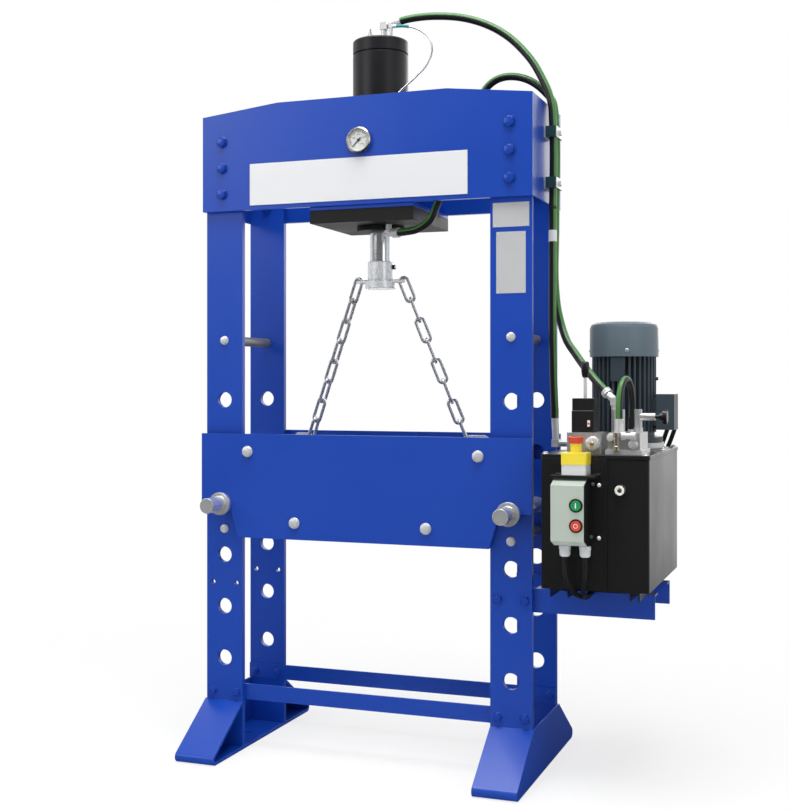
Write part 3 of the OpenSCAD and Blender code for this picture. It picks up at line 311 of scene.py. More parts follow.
finish("teal_sleeve", (0.03, 0.30, 0.32), 0.4, drift=0.06, patch=0.01)
finish("capillary_line", (0.66, 0.68, 0.70), 0.24, metal=0.9, drift=0.05, patch=0.02)
print("finishes:", len(finishes))

# %% [markdown]
# ## Hose rubber and gauge glass
# The hoses are black rubber with a broad green stripe along one side. A stripe painted in the air would slide
# off the bends, so each hose carries an attribute that is 1 on the middle of the stripe and falls off round it.
# The gauge's glass is a clear sheet that lets the dial through.

# %% Striped rubber and glass
hose = finish("hose_rubber", (0.011, 0.011, 0.012), 0.40, drift=0.12, patch=0.05, grain=0.002, depth=0.00002)
tree = hose.node_tree
stripe = node_in(tree, "ShaderNodeAttribute", attribute_name="stripe")
edge = ramp(tree, 0.56, 0.62, 0.0, 1.0, smooth=False)
green = node_in(tree, "ShaderNodeMix", data_type="RGBA")
green.inputs[7].default_value = (0.062, 0.205, 0.050, 1)
shader = tree.nodes["Principled BSDF"]
black = shader.inputs["Base Color"].links[0].from_socket
join(tree, (stripe.outputs["Fac"], edge.inputs["Value"]), (edge.outputs[0], green.inputs[0]),
     (black, green.inputs[6]), (green.outputs[2], shader.inputs["Base Color"]))
glass = finish("gauge_glass", (0.97, 0.98, 0.98), 0.03, drift=0.01, depth=0.0, rough_drift=0.01)
clear = glass.node_tree.nodes["Principled BSDF"]
clear.inputs["Transmission Weight"].default_value = 1.0
clear.inputs["IOR"].default_value = 1.1
print("stripe colour", [round(c, 3) for c in green.inputs[7].default_value[:3]])

# %% [markdown]
# ## Softened solids
# No plate edge is a knife edge: paint and deburring leave a small round that catches the light.
# The solids can't be changed, so each gets a copy. Its doubled corners are merged, its flat triangles are
# joined into whole faces, and a Bevel modifier rounds every edge that is sharper than thirty-five degrees.


# %% Softened copies
FLAT_ANGLE, SHARP_ANGLE = math.radians(0.4), math.radians(35)


def dress(node, finish_name, edge=0.8, upper=None):
    """A copy of a solid with rounded edges of a width in millimetres. upper = (finish, height in metres)
    gives the faces above that height a finish of their own."""
    mesh = nodes[node].data.copy()
    mesh.name = node + "_dressed"
    work = bmesh.new()
    work.from_mesh(mesh)
    bmesh.ops.remove_doubles(work, verts=work.verts, dist=1e-5)
    bmesh.ops.dissolve_limit(work, angle_limit=FLAT_ANGLE, verts=work.verts, edges=work.edges)
    work.to_mesh(mesh)
    work.free()
    if "custom_normal" in mesh.attributes:
        mesh.attributes.remove(mesh.attributes["custom_normal"])
    mesh.shade_smooth()
    mesh.materials.clear()
    mesh.materials.append(finishes[finish_name])
    if upper:
        mesh.materials.append(finishes[upper[0]])
        centres = np.zeros(3 * len(mesh.polygons))
        mesh.polygons.foreach_get("center", centres)
        above = (centres.reshape(-1, 3)[:, 2] > upper[1]).astype(np.int32)
        mesh.polygons.foreach_set("material_index", above)
    made = add_object(node + "_dressed", mesh)
    rounding = made.modifiers.new("rounded edges", "BEVEL")
    rounding.width = edge * MM
    rounding.segments = 2
    rounding.limit_method = "ANGLE"
    rounding.angle_limit = SHARP_ANGLE
    rounding.harden_normals = True
    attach(made, body_of[node])
    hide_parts(node)


# %% Softened frame, table and ram
for name in ("left_foot", "right_foot", "left_posts", "right_posts", "ties", "crown_front_plate",
             "crown_rear_plate", "crown_side_plates", "crown_pad", "table_plates", "bracket_arms"):
    dress(name, "frame_blue", edge=1.2)
for name in ("cylinder_barrel", "cylinder_cap"):
    dress(name, "cylinder_black", edge=1.0)
for name in ("cylinder_plate", "cylinder_gland"):
    dress(name, "raw_steel", edge=1.0)
for name in ("table_spacers", "fittings"):
    dress(name, "zinc", edge=0.8)
dress("ram_head", "head_steel", edge=0.8)
dress("column_spacers", "spacer_grey", edge=0.8)
for name in ("left_pin", "right_pin"):
    dress(name, "pin_steel", edge=1.2)
dress("piston_rod", "rod_chrome", edge=0.6)

# %% Softened power unit, signs and controls
for name in ("tank", "tank_lid", "control_plate"):
    dress(name, "tank_black", edge=1.2)
FLANGE_TOP, STOP_LID_FOOT = 0.8385, 0.8015
dress("motor_housing", "block_steel", edge=0.8, upper=("motor_grey", FLANGE_TOP))
dress("terminal_box", "motor_grey", edge=0.8)
dress("fan_cover", "cover_grey", edge=0.5)
dress("motor_fan", "fan_plastic", edge=0.4)
dress("manifold", "block_steel", edge=1.0)
dress("lever_valve", "valve_black", edge=1.2)
dress("relief_knob", "knob_black", edge=0.8)
dress("starter_base", "starter_black", edge=1.5)
dress("starter_cover", "starter_green", edge=1.5)
dress("estop_box", "estop_grey", edge=1.5, upper=("estop_yellow", STOP_LID_FOOT))
dress("estop_button", "button_red", edge=0.6)
dress("sign_panel", "sign_white", edge=0.5)
dress("data_plates", "plate_silver", edge=0.3)
dress("gauge_case", "gauge_steel", edge=0.6)
dress("gauge_needle", "needle_black", edge=0.1)
dress("gauge_glass", "gauge_glass", edge=0.2)
dress("hose_clamps", "clamp_green", edge=1.2)

# %% [markdown]
# ## Surfaces from arrays
# Bolts, links and hoses are surfaces of two parameters: one runs along a profile or path, the other round it.
# numpy works out all points of such a grid at once, and neighbours are joined by four-cornered faces.
# Poles are grid rows that shrink to one point, and they are merged when the grid becomes a mesh.


# %% Grid helpers
def quads(rows, cols, close_rows=False, close_cols=True):
    """Faces between neighbours (i, j), (i, j+1), (i+1, j+1), (i+1, j) of a grid that may close on itself."""
    i, j = np.meshgrid(np.arange(rows if close_rows else rows - 1),
                       np.arange(cols if close_cols else cols - 1), indexing="ij")
    up, right = (i + 1) % rows, (j + 1) % cols
    return np.stack([i * cols + j, i * cols + right, up * cols + right, up * cols + j], -1).reshape(-1, 4)


def shell(points, close_rows=False, close_cols=True):
    """A grid of points (rows, cols, 3) as a flat list of points and its faces."""
    rows, cols = points.shape[:2]
    return points.reshape(-1, 3), quads(rows, cols, close_rows, close_cols)


def axes(direction, aside=(0, 0, 1)):
    """Three unit vectors as columns: the third along direction, the first square to it and to aside."""
    z = np.array(direction, float) / np.linalg.norm(direction)
    x = np.cross(aside, z)
    x = np.cross((0, 1, 0), z) if np.linalg.norm(x) < 1e-6 else x
    x = x / np.linalg.norm(x)
    return np.stack([x, np.cross(z, x), z], 1)


def put(points, origin, direction, aside=(0, 0, 1)):
    """Points in millimetres, drawn along +Z at zero, turned to a direction and moved to a place in metres."""
    return points * MM @ axes(direction, aside).T + np.array(origin)


def turned(profile, origin, direction, sides=48):
    """A profile of (radius, height) in millimetres carried round an axis."""
    r, h = np.array(profile, float).T
    a = np.linspace(0, 2 * np.pi, sides, endpoint=False)
    ring = np.stack([np.outer(r, np.cos(a)), np.outer(r, np.sin(a)), np.outer(h, np.ones(sides))], -1)
    return shell(put(ring, origin, direction))


def blocks(centres, a, b, c):
    """Boxes round centres (n, 3) with half edges a, b and c (3 or n x 3), six faces each."""
    signs = np.array([(x, y, z) for z in (-1, 1) for y in (-1, 1) for x in (-1, 1)], float)
    centres = np.atleast_2d(centres)
    edges = np.stack([np.broadcast_to(v, centres.shape) for v in (a, b, c)], 1)
    points = centres[:, None] + signs @ edges
    one = np.array([(0, 2, 3, 1), (4, 5, 7, 6), (0, 1, 5, 4), (2, 6, 7, 3), (0, 4, 6, 2), (1, 3, 7, 5)])
    faces = one + 8 * np.arange(len(centres))[:, None, None]
    return points.reshape(-1, 3), faces.reshape(-1, 4)


# %% Piece from grids
def piece(name, shells, finish_name, body, stands_for=(), stripe=None, sharp=38):
    """Joins grids into one mesh at the origin, merges poles, turns the faces outwards, creases edges that
    are sharper than an angle in degrees and lets the mesh ride on a body."""
    starts = np.cumsum([0] + [len(points) for points, _ in shells])
    points = np.concatenate([points for points, _ in shells])
    faces = np.concatenate([quad + start for (_, quad), start in zip(shells, starts)])
    mesh = bpy.data.meshes.new(name)
    mesh.from_pydata(points.tolist(), [], faces.tolist())
    if stripe is not None:
        tone = mesh.attributes.new("stripe", "FLOAT", "POINT")
        tone.data.foreach_set("value", stripe.astype(np.float32).ravel())
    work = bmesh.new()
    work.from_mesh(mesh)
    bmesh.ops.remove_doubles(work, verts=work.verts, dist=1e-6)
    bmesh.ops.recalc_face_normals(work, faces=work.faces)
    work.to_mesh(mesh)
    work.free()
    mesh.shade_smooth()
    mesh.set_sharp_from_angle(angle=math.radians(sharp))
    mesh.materials.append(finishes[finish_name])
    made = add_object(name, mesh)
    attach(made, body)
    if stands_for:
        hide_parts(*stands_for)
    print(name, len(mesh.polygons), "faces")


# %% [markdown]
# ## Bolts
# A bolt head is a hexagon whose upper corners are turned off by a cone, which leaves the curved edges that a
# plain six-sided prism lacks. Its radius at an angle is the smaller of the hexagon's and the cone's.
# Frame bolts were painted with the frame; the bolts of the spacer bars are bare zinc over a washer.


# %% Bolt shapes
BOLT_SIDES = 48


def bolt_head(origin, direction, flats, height, washer_r, washer_t):
    """Hexagon radius flats / 2 / cos(angle to the nearest flat), cut by a cone of 30 degrees at the top,
    over a round washer. Sizes in millimetres."""
    a = np.linspace(0, 2 * np.pi, BOLT_SIDES, endpoint=False)
    hexagon = flats / 2 / np.cos((a + np.pi / 6) % (np.pi / 3) - np.pi / 6)
    h = np.array([0, 0.55, 0.75, 0.85, 0.93, 1.0, 1.0]) * height
    cone = flats / 2 * 0.96 + (height - h) / math.tan(math.radians(30))
    r = np.minimum(hexagon[None], cone[:, None])
    r[-1] = 0
    head = np.stack([r * np.cos(a), r * np.sin(a), np.broadcast_to(h[:, None] + washer_t, r.shape)], -1)
    foot = np.zeros((1, BOLT_SIDES, 3)) + (0, 0, washer_t)
    ring = [(0, 0), (washer_r - 0.4, 0), (washer_r, 0.5), (washer_r, washer_t - 0.5),
            (washer_r - 0.5, washer_t), (0, washer_t)]
    return [shell(put(np.concatenate([foot, head]), origin, direction)), turned(ring, origin, direction)]


post_x = sum(corner.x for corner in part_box("right_posts")) / 2
post_y = -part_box("right_posts")[0].y
crown_y = -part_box("crown_front_plate")[0].y
table_y = -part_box("table_plates")[0].y
CROWN_ROW_Z, CROWN_ROW_PITCH = 1.502, 0.070
crown_rows = CROWN_ROW_Z + CROWN_ROW_PITCH * np.arange(3)
SIDES = (-1, 1)
FORWARD, UPWARD, RIGHTWARD = (0, -1, 0), (0, 0, 1), (1, 0, 0)
print("post middle", round(post_x, 4), "front faces", round(post_y, 4), round(crown_y, 4), round(table_y, 4))

# %% Zinc bolts
# Flats, head height, washer radius and washer thickness, in millimetres
POST_BOLT, TABLE_BOLT = (19, 4.9, 11.8, 2.5), (24, 7, 14.9, 2.5)
zinc_heads = []
for side in SIDES:
    for front in SIDES:
        for z in (0.596, 1.107):
            zinc_heads += bolt_head((side * post_x, front * post_y, z), (0, front, 0), *POST_BOLT)
        for x, z in ((0.3215, 0.808), (0.1835, 0.621)):
            zinc_heads += bolt_head((side * x, front * table_y, z), (0, front, 0), *TABLE_BOLT)
piece("zinc_bolt_heads", zinc_heads, "zinc", "frame", ["zinc_bolts"])

# %% Painted bolts
CROWN_BOLT, TIE_BOLT = (24, 7, 15.5, 3), (19, 5, 12, 2)
CROWN_INNER_Y, TIE_INNER_Y = 0.1225, 0.1175
TIE_Z, ARM_Z, PAIR_X = 0.155, 0.450, 0.035
blue_heads = []
for side in SIDES:
    for front in SIDES:
        for z in crown_rows:
            x = side * post_x
            blue_heads += bolt_head((x, front * crown_y, z), (0, front, 0), *CROWN_BOLT)
            blue_heads += bolt_head((x, front * CROWN_INNER_Y, z), (0, -front, 0), *CROWN_BOLT)
        for dx in (-PAIR_X, PAIR_X):
            heights = (TIE_Z, ARM_Z) if side > 0 else (TIE_Z,)
            for z in heights:
                x = side * post_x + dx
                blue_heads += bolt_head((x, front * post_y, z), (0, front, 0), *TIE_BOLT)
                blue_heads += bolt_head((x, front * TIE_INNER_Y, z), (0, -front, 0), *TIE_BOLT)
piece("painted_bolt_heads", blue_heads, "bolt_blue", "frame", ["frame_bolts"])

# %% [markdown]
# ## Chains
# A chain link is a round wire bent to a loop of two straight legs and two half circles and welded in one leg.
# A stretched ring would make the wire oval, so its middle line is a circle whose halves are pulled apart,
# and a small swelling marks the weld.
# The hinges of the solids say where each pair of links hangs and how it lies.

# %% Links
WIRE_R, BEND_R, LINK_HALF = 4.5, 11.5, 34.0
FLAT_SPAN, EDGE_SPAN = 49.4, 68.0


def link(centre, along, across):
    """Middle line (BEND_R cos t, leg sign(sin t) + BEND_R sin t); the wire's radius swells by 7 percent
    round t = 0, the weld. along and across are the link's long and wide directions."""
    t = np.concatenate([np.linspace(-0.02, 0.02, 7), np.linspace(0.05, np.pi - 0.02, 22), [np.pi],
                        np.linspace(np.pi + 0.02, 2 * np.pi - 0.05, 22)])
    reach = (LINK_HALF - BEND_R) * np.clip(np.sin(t) / 0.02, -1, 1)
    weld = WIRE_R * (1 + 0.07 * np.exp(-(t / 0.006) ** 2))
    a = np.linspace(0, 2 * np.pi, 16, endpoint=False)
    out = BEND_R + np.outer(weld, np.cos(a))
    flat = np.stack([out * np.cos(t)[:, None], out * np.sin(t)[:, None] + reach[:, None],
                     np.outer(weld, np.sin(a))], -1)
    frame_of = np.stack([across, along, np.cross(across, along)], 0)
    return shell(flat * MM @ frame_of + centre, close_rows=True)


for side in ("left", "right"):
    pins = [np.array(joint[f"{side}_chain_hinge_{i}"]["pos_m"]) for i in (1, 2, 3, 4)]
    down = (pins[3] - pins[0]) / np.linalg.norm(pins[3] - pins[0])
    axle = np.array(joint[f"{side}_chain_hinge_1"]["axis"], float)
    wide = np.cross(down, axle)
    for i, top in enumerate(pins, 1):
        flat_link = link(top + down * FLAT_SPAN / 2 * MM, down, wide)
        edge_link = link(top + down * (FLAT_SPAN + EDGE_SPAN / 2) * MM, down, axle)
        piece(f"{side}_links_{i}", [flat_link, edge_link], "chain_zinc", f"{side}_chain_{i}",
              [f"{side}_chain_{i}"], sharp=60)

# %% [markdown]
# ## Hoses, gauge line and cables
# Each hose follows the route of its solid. The route's points are joined by one smooth curve whose slope at
# each point comes from its neighbours, and a circle is carried along it.
# A reference direction that no route runs along keeps the circle, and so the green stripe, from twisting.

# %% Routes in millimetres
routes = {
    "pressure": [(40, 0, 1962), (70, 0, 1968), (120, 0, 1971), (170, 0, 1968), (225, 0, 1959), (280, 0, 1941),
                 (325, 0, 1918), (362, 0, 1891), (395, -2, 1858), (423, -5, 1823), (448, -10, 1780),
                 (468, -15, 1737), (477, -18, 1702), (480, -20, 1662), (480, -20, 1400), (480, -20, 1100),
                 (482, -20, 1000), (485, -20, 922)],
    "return": [(62, -66, 1388), (100, -80, 1388), (140, -92, 1393), (172, -96, 1412), (190, -92, 1450),
               (205, -80, 1500), (228, -55, 1570), (252, -25, 1640), (265, 5, 1705), (278, 18, 1748),
               (294, 20, 1773), (316, 20, 1789), (343, 20, 1796), (373, 20, 1794), (403, 18, 1784),
               (431, 15, 1766), (454, 13, 1744), (472, 12, 1720), (478, 12, 1690), (480, 12, 1662),
               (480, 12, 1400), (480, 12, 1230), (485, 12, 1185), (497, 6, 1140), (516, -16, 1100),
               (545, -50, 1066), (580, -88, 1028), (618, -121, 990), (645, -136, 965)],
    "loop": [(680, -182, 906), (680, -182, 934), (681, -179, 962), (684, -168, 986), (688, -150, 1000),
             (691, -130, 1000), (694, -112, 986), (696, -100, 962), (697, -96, 936), (697, -96, 906)],
    "capillary": [(55, -26, 1946), (75, -28, 1944), (100, -29, 1938), (125, -30, 1926), (148, -32, 1906),
                  (159, -36, 1882), (159, -40, 1856), (150, -46, 1832), (124, -58, 1800), (90, -74, 1765),
                  (55, -92, 1725), (24, -107, 1688), (6, -115, 1664), (0, -118, 1648), (0, -118, 1636)],
}


GLAND_XS, GLAND_Y, GLAND_Z = (568.5, 616.5), -270, 591


def cable_route(x, run_x, box_x):
    """From a gland of the starter down, under the tank, up its rear and into the terminal box."""
    d = run_x - x
    return [(x, GLAND_Y, GLAND_Z), (x, GLAND_Y, 555), (x + 0.2 * d, GLAND_Y, 525), (x + 0.5 * d, -264, 512),
            (x + 0.8 * d, -250, 496), (run_x, -238, 490), (run_x + 2, 0, 490), (run_x + 6, 215, 489),
            (run_x + 14, 246, 496), (run_x + 24, 260, 524), (run_x + 50, 260, 620), (run_x + 102, 260, 770),
            (box_x - 18, 254, 840), (box_x - 4, 238, 877), (box_x, 201, 896), (box_x, 179, 896)]


print("points", {name: len(points) for name, points in routes.items()})


# %% Curves
def curve(points, steps=8):
    """Through every point, with the slope of the parabola through it and its neighbours: on each stretch a
    cubic with the two ends' places and slopes."""
    p = np.array(points, float)
    gap = np.linalg.norm(np.diff(p, axis=0), axis=1)[:, None]
    slope = np.diff(p, axis=0) / gap
    middle = (slope[:-1] * gap[1:] + slope[1:] * gap[:-1]) / (gap[1:] + gap[:-1])
    v = np.concatenate([slope[:1], middle, slope[-1:]])
    t = np.linspace(0, 1, steps, endpoint=False)[None, :, None]
    start, end = p[:-1, None], p[1:, None]
    leave, arrive = v[:-1, None] * gap[:, None], v[1:, None] * gap[:, None]
    stretch = ((2 * t**3 - 3 * t**2 + 1) * start + (t**3 - 2 * t**2 + t) * leave
               + (3 * t**2 - 2 * t**3) * end + (t**3 - t**2) * arrive)
    return np.concatenate([stretch.reshape(-1, 3), p[-1:]])


# %% Tubes
def tube(path, radius, aside, sides=20, stripe_at=(0.0, 0.0)):
    """A circle carried along a path: u square to aside and to the path, v square to both, ends closed to
    points. Gives the grid and, for the stripe, the cosine of the angle from the stripe's middle, which goes
    evenly from the first to the last angle of stripe_at."""
    ends = np.concatenate([path[:1], path, path[-1:]])
    r = np.broadcast_to(radius, len(path))
    r = np.concatenate([[0], r, [0]])[:, None, None]
    along = np.gradient(path, axis=0)
    along = along / np.linalg.norm(along, axis=1, keepdims=True)
    along = np.concatenate([along[:1], along, along[-1:]])
    u = np.cross(aside, along)
    u = u / np.linalg.norm(u, axis=1, keepdims=True)
    v = np.cross(along, u)
    a = np.linspace(0, 2 * np.pi, sides, endpoint=False)
    ring = np.cos(a)[None, :, None] * u[:, None] + np.sin(a)[None, :, None] * v[:, None]
    tone = np.cos(a[None] - np.linspace(*stripe_at, len(ends))[:, None])
    return shell((ends[:, None] + r * ring) * MM), tone


def length_of(path):
    """Sum of the distances between neighbouring points."""
    return np.linalg.norm(np.diff(path, axis=0), axis=1).sum()


# %% Hoses
HOSE_R, LOOP_R, CAPILLARY_R, CABLE_R = 10, 8, 2.5, 6
ACROSS, SIDEWAYS = (0, 1, 0), (1, 0, 0)
hoses = {"pressure": (HOSE_R, ACROSS, np.radians((216, 188))),
         "return": (HOSE_R, ACROSS, np.radians((216, 190))),
         "loop": (LOOP_R, SIDEWAYS, np.radians((-25, -25)))}
paths = {name: curve(points) for name, points in routes.items()}
for name, (radius, aside, stripe_at) in hoses.items():
    grid, tone = tube(paths[name], radius, aside, stripe_at=stripe_at)
    piece(f"{name}_hose_rubber", [grid], "hose_rubber", "frame", [f"{name}_hose"], stripe=tone)
    print(name, "hose", round(length_of(paths[name])), "mm")

# %% Gauge line and cables
grid, _ = tube(paths["capillary"], CAPILLARY_R, ACROSS, sides=12)
piece("capillary_tube", [grid], "capillary_line", "frame", ["gauge_capillary"])
cable_ends = zip(GLAND_XS, (590, 606), (738.5, 757.5))
cables = [curve(cable_route(x, run_x, box_x)) for x, run_x, box_x in cable_ends]
cable_tubes = [tube(path, CABLE_R, SIDEWAYS, sides=14)[0] for path in cables]
piece("starter_cables", cable_tubes, "cable_black", "frame", ["control_cables"])
print("gauge line", round(length_of(paths["capillary"])), "mm")
print("cables", [round(length_of(path)) for path in cables], "mm")

# %% [markdown]
# ## Crimped ends
# A hydraulic hose ends in a steel sleeve that was pressed onto it, with shallow ring grooves.
# A turned profile would be straight, while a hose's end may bend, so the sleeve is the hose's circle carried
# along that end, with a radius that dips at the grooves.
# The boot, the bands and the white sleeve are slightly wider tubes on straight stretches of the hoses.


# %% Ferrules
def ferrule(path, radius, length, from_end):
    """Points along the end of a hose and a radius at each: 1.32 times the hose's, less at three grooves and
    at the far edge."""
    line = path[::-1] if from_end else path
    s = np.concatenate([[0], np.cumsum(np.linalg.norm(np.diff(line, axis=0), axis=1))])
    at = np.linspace(0, length, 40)
    spots = np.stack([np.interp(at, s, line[:, k]) for k in range(3)], 1)
    share = at / length
    grooves = sum(np.exp(-((share - g) / 0.035) ** 2) for g in (0.35, 0.58, 0.81))
    r = radius * (1.32 - 0.10 * grooves - 0.12 * np.exp(-((share - 1) / 0.04) ** 2))
    return spots, r


crimps = []
for name, length, from_end in (("pressure", 18, False), ("return", 20, False), ("return", 12, True)):
    radius, aside, _ = hoses[name]
    spots, r = ferrule(paths[name], radius, length, from_end)
    crimps.append(tube(spots, r, aside, sides=24)[0])
piece("hose_ferrules", crimps, "zinc", "frame")

# %% Boot, bands and sleeve
boot, tone = tube(curve([(485, -20, 926), (485, -20, 914), (485, -20, 902)]), HOSE_R + 0.4, ACROSS,
                  stripe_at=hoses["pressure"][2][1:].repeat(2))
piece("pressure_boot", [boot], "hose_rubber", "frame", stripe=tone)
bands = [tube(curve([(480, -20, 1453), (480, -20, 1445), (480, -20, 1437)]), HOSE_R + 0.5, ACROSS)[0],
         tube(curve([(697, -96, 907), (697, -96, 893), (697, -96, 879)]), 11.4, SIDEWAYS)[0]]
piece("hose_bands", bands, "cable_black", "frame")
sleeve = curve([(480, -20, 1383), (480, -20, 1368), (480, -20, 1354)])
piece("hose_sleeve", [tube(sleeve, HOSE_R + 0.6, ACROSS, sides=24)[0]], "sign_white", "frame")
start = paths["capillary"][:14]
piece("capillary_nut", [tube(start, 4.2, ACROSS, sides=16)[0]], "teal_sleeve", "frame")

# %% [markdown]
# ## Gauge
# The gauge has a white dial behind its glass, with a scale over three quarters of a turn and a few numbers.
# The marks could be a picture, but thin raised strips stay sharp from any distance.

# %% Dial
gauge_x, gauge_z, dial_y = 0.0, 1.621, -0.1595
DIAL_R, HUB_R, DIAL_T = 28.6, 2.3, 0.4
sheet = [(HUB_R, 0), (DIAL_R, 0), (DIAL_R, DIAL_T), (HUB_R, DIAL_T), (HUB_R, 0)]
dial = turned(sheet, (gauge_x, dial_y, gauge_z), FORWARD, 64)
piece("gauge_dial", [dial], "dial_white", "frame")

# %% Scale
MARKS, SCALE_TURN, SCALE_R = 41, 135, 25
turns = np.radians(np.linspace(-SCALE_TURN, SCALE_TURN, MARKS))
long_mark = np.arange(MARKS) % 5 == 0
inner = np.where(long_mark, 19.5, 22.0)
out_of = np.stack([np.sin(turns), np.zeros(MARKS), np.cos(turns)], 1)
across = np.stack([np.cos(turns), np.zeros(MARKS), -np.sin(turns)], 1)
middle = np.array([gauge_x, dial_y - 0.5 * MM, gauge_z]) + out_of * ((inner + SCALE_R) / 2 * MM)[:, None]
half_long = out_of * ((SCALE_R - inner) / 2 * MM)[:, None]
half_wide = across * np.where(long_mark, 0.5, 0.3)[:, None] * MM
marks = blocks(middle, half_long, half_wide, (0, 0.15 * MM, 0))
piece("dial_marks", [marks], "needle_black", "frame")


# %% Numbers on the dial
def number(word, place, size):
    """A short word as a flat mesh that faces the front, its middle at a place."""
    text = bpy.data.curves.new("number_" + word, "FONT")
    text.body, text.size, text.extrude = word, size, 0.00008
    text.align_x, text.align_y = "CENTER", "CENTER"
    holder = add_object("number_holder", text)
    mesh = bpy.data.meshes.new_from_object(holder.evaluated_get(bpy.context.evaluated_depsgraph_get()))
    bpy.data.objects.remove(holder)
    flat = np.zeros(3 * len(mesh.vertices))
    mesh.vertices.foreach_get("co", flat)
    flat = flat.reshape(-1, 3)
    moved = np.stack([flat[:, 0], -flat[:, 2], flat[:, 1]], 1) + np.array(place)
    mesh.vertices.foreach_set("co", moved.ravel())
    mesh.materials.clear()
    mesh.materials.append(finishes["needle_black"])
    made = add_object("dial_number_" + word, mesh)
    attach(made, "frame")


NUMBER_R, NUMBER_SIZE = 14.5, 0.0058
for word, turn in (("0", -135), ("100", -67.5), ("200", 0), ("300", 67.5), ("400", 135)):
    spot = np.array([math.sin(math.radians(turn)), 0, math.cos(math.radians(turn))]) * NUMBER_R * MM
    number(word, spot + (gauge_x, dial_y - 0.45 * MM, gauge_z), NUMBER_SIZE)
    print("dial number", word)

# %% [markdown]
# ## Lever, screws and small fittings
# Small bright parts make the power unit read as a machine: the valve's hand lever, domed screws and the oil
# sight plug. On a lathe each is a profile cut round an axis, so each is a turned profile here too.

# %% Hand lever
lever_at = np.array(joint["lever_rock"]["pos_m"])
boss = [(0, -10), (8.6, -10), (9, -9.4), (9, 9.4), (8.6, 10), (0, 10)]
piece("lever_boss", [turned(boss, lever_at, RIGHTWARD)], "valve_black", "lever", ["valve_lever"])
rod = [(0, 0), (4, 0), (4, 66), (0, 66)]
piece("lever_rod", [turned(rod, lever_at, UPWARD, 24)], "zinc", "lever")
grip = [(0, 62), (5.5, 62), (6.5, 63), (8.2, 68), (9.4, 76), (10, 86), (9.9, 94), (9.0, 99), (6.5, 101),
        (0, 101.4)]
piece("lever_grip", [turned(grip, lever_at, UPWARD)], "knob_black", "lever", sharp=50)


# %% Screws
def pan_screw(origin, direction, r):
    """A domed screw head: the profile of a shallow dome of a radius carried round its axis."""
    dome = [(0, 0), (r, 0), (r, 0.35 * r), (0.86 * r, 0.58 * r), (0.55 * r, 0.72 * r), (0, 0.76 * r)]
    return turned(dome, origin, direction, 24)


plate_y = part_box("control_plate")[0].y
plate_screws = [pan_screw((x * MM, plate_y, z * MM), FORWARD, 4.6) for x, z in ((655.5, 756), (655, 634))]
piece("plate_screws", plate_screws, "zinc", "frame")
dark_screws = [pan_screw((x * MM, plate_y, z * MM), FORWARD, 4) for x, z in ((641, 758), (637, 636))]
piece("starter_screws", dark_screws, "motor_grey", "frame")
COVER_SCREW_R, COVER_SCREW_Z = 0.0868, 1.076
motor_x, motor_y = (sum(c[k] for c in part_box("fan_cover")) / 2 for k in (0, 1))
cover_turns = [np.array((math.cos(a), math.sin(a), 0)) for a in np.radians([15, 105, 195, 285])]
cover_screws = [pan_screw(outward * COVER_SCREW_R + (motor_x, motor_y, COVER_SCREW_Z), outward, 5)
                for outward in cover_turns]
piece("fan_cover_screws", cover_screws, "zinc", "frame")

# %% Oil sight plug
SIGHT_AT = (0.6915, -0.238, 0.740)
ring = [(5.5, -1), (11.8, -1), (11.8, 3), (10.6, 4.5), (6.5, 4.5), (5.5, 3.5), (5.5, -1)]
piece("sight_ring", [turned(ring, SIGHT_AT, FORWARD)], "mark_white", "frame")
rim = [(11.8, -1), (13.4, -1), (13.4, 3.4), (11.8, 3.4), (11.8, -1)]
piece("sight_rim", [turned(rim, SIGHT_AT, FORWARD)], "tank_black", "frame")
eye = [(0, -1.5), (5.5, -1.5), (5.5, 3.5), (4.5, 4.1), (0, 4.5)]
piece("sight_eye", [turned(eye, SIGHT_AT, FORWARD)], "brass", "frame")

# %% [markdown]
# ## Tank lid, valve blocks and last fasteners
# The lid is bolted down round its edge, and drilled valve blocks are closed by plugs and joined by adapters.
# The drillings can't be seen, so only what is screwed into them is made, from hexagons and turned profiles.
# The motor's collar, the bolts of the hose clamps, the ram's set screw and the plates' rivets follow.

# %% Lid bolts
lid_low, lid_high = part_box("tank_lid")
LID_EDGE, LID_BOLT = 0.011, (10, 4, 8, 1.2)
lid_xs = (lid_low.x + LID_EDGE, lid_high.x - LID_EDGE)
lid_ys = (lid_low.y + LID_EDGE, 0.05, lid_high.y - LID_EDGE)
lid_bolts = []
for x in lid_xs:
    for y in lid_ys:
        lid_bolts += bolt_head((x, y, lid_high.z), UPWARD, *LID_BOLT)
piece("lid_bolts", lid_bolts, "zinc", "frame")

# %% Plugs and adapters
block_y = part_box("manifold")[0].y
BIG_PLUG, SMALL_PLUG = (31, 9, 17.5, 2), (19, 8, 12, 2)
big_plug_at = (0.6195, block_y, 0.8465)
plugs = bolt_head(big_plug_at, FORWARD, *BIG_PLUG)
plugs += bolt_head((0.716, block_y, 0.846), FORWARD, *SMALL_PLUG)
domed_plug = [(0, -1), (9.5, -1), (9.5, 7), (8.2, 9), (4, 10), (0, 10.2)]
plugs.append(turned(domed_plug, (0.663, block_y, 0.862), FORWARD))
adapter = [(0, 0), (9, 0), (10, 1), (10, 10), (7.5, 10.5), (7.5, 22), (10.5, 22.5), (10.5, 33), (9.5, 34),
           (0, 34)]
plugs.append(turned(adapter, (0.690, -0.206, 0.8665), RIGHTWARD))
plugs.append(blocks((0.6935, -0.138, 0.8275), (0.043, 0, 0), (0, 0.064, 0), (0, 0, 0.0055)))
piece("block_plugs", plugs, "zinc", "frame")
hub = [(0, 9), (5, 9), (5, 13), (4, 14), (0, 14)]
piece("plug_hub", [turned(hub, big_plug_at, FORWARD, 30)], "brass", "frame")
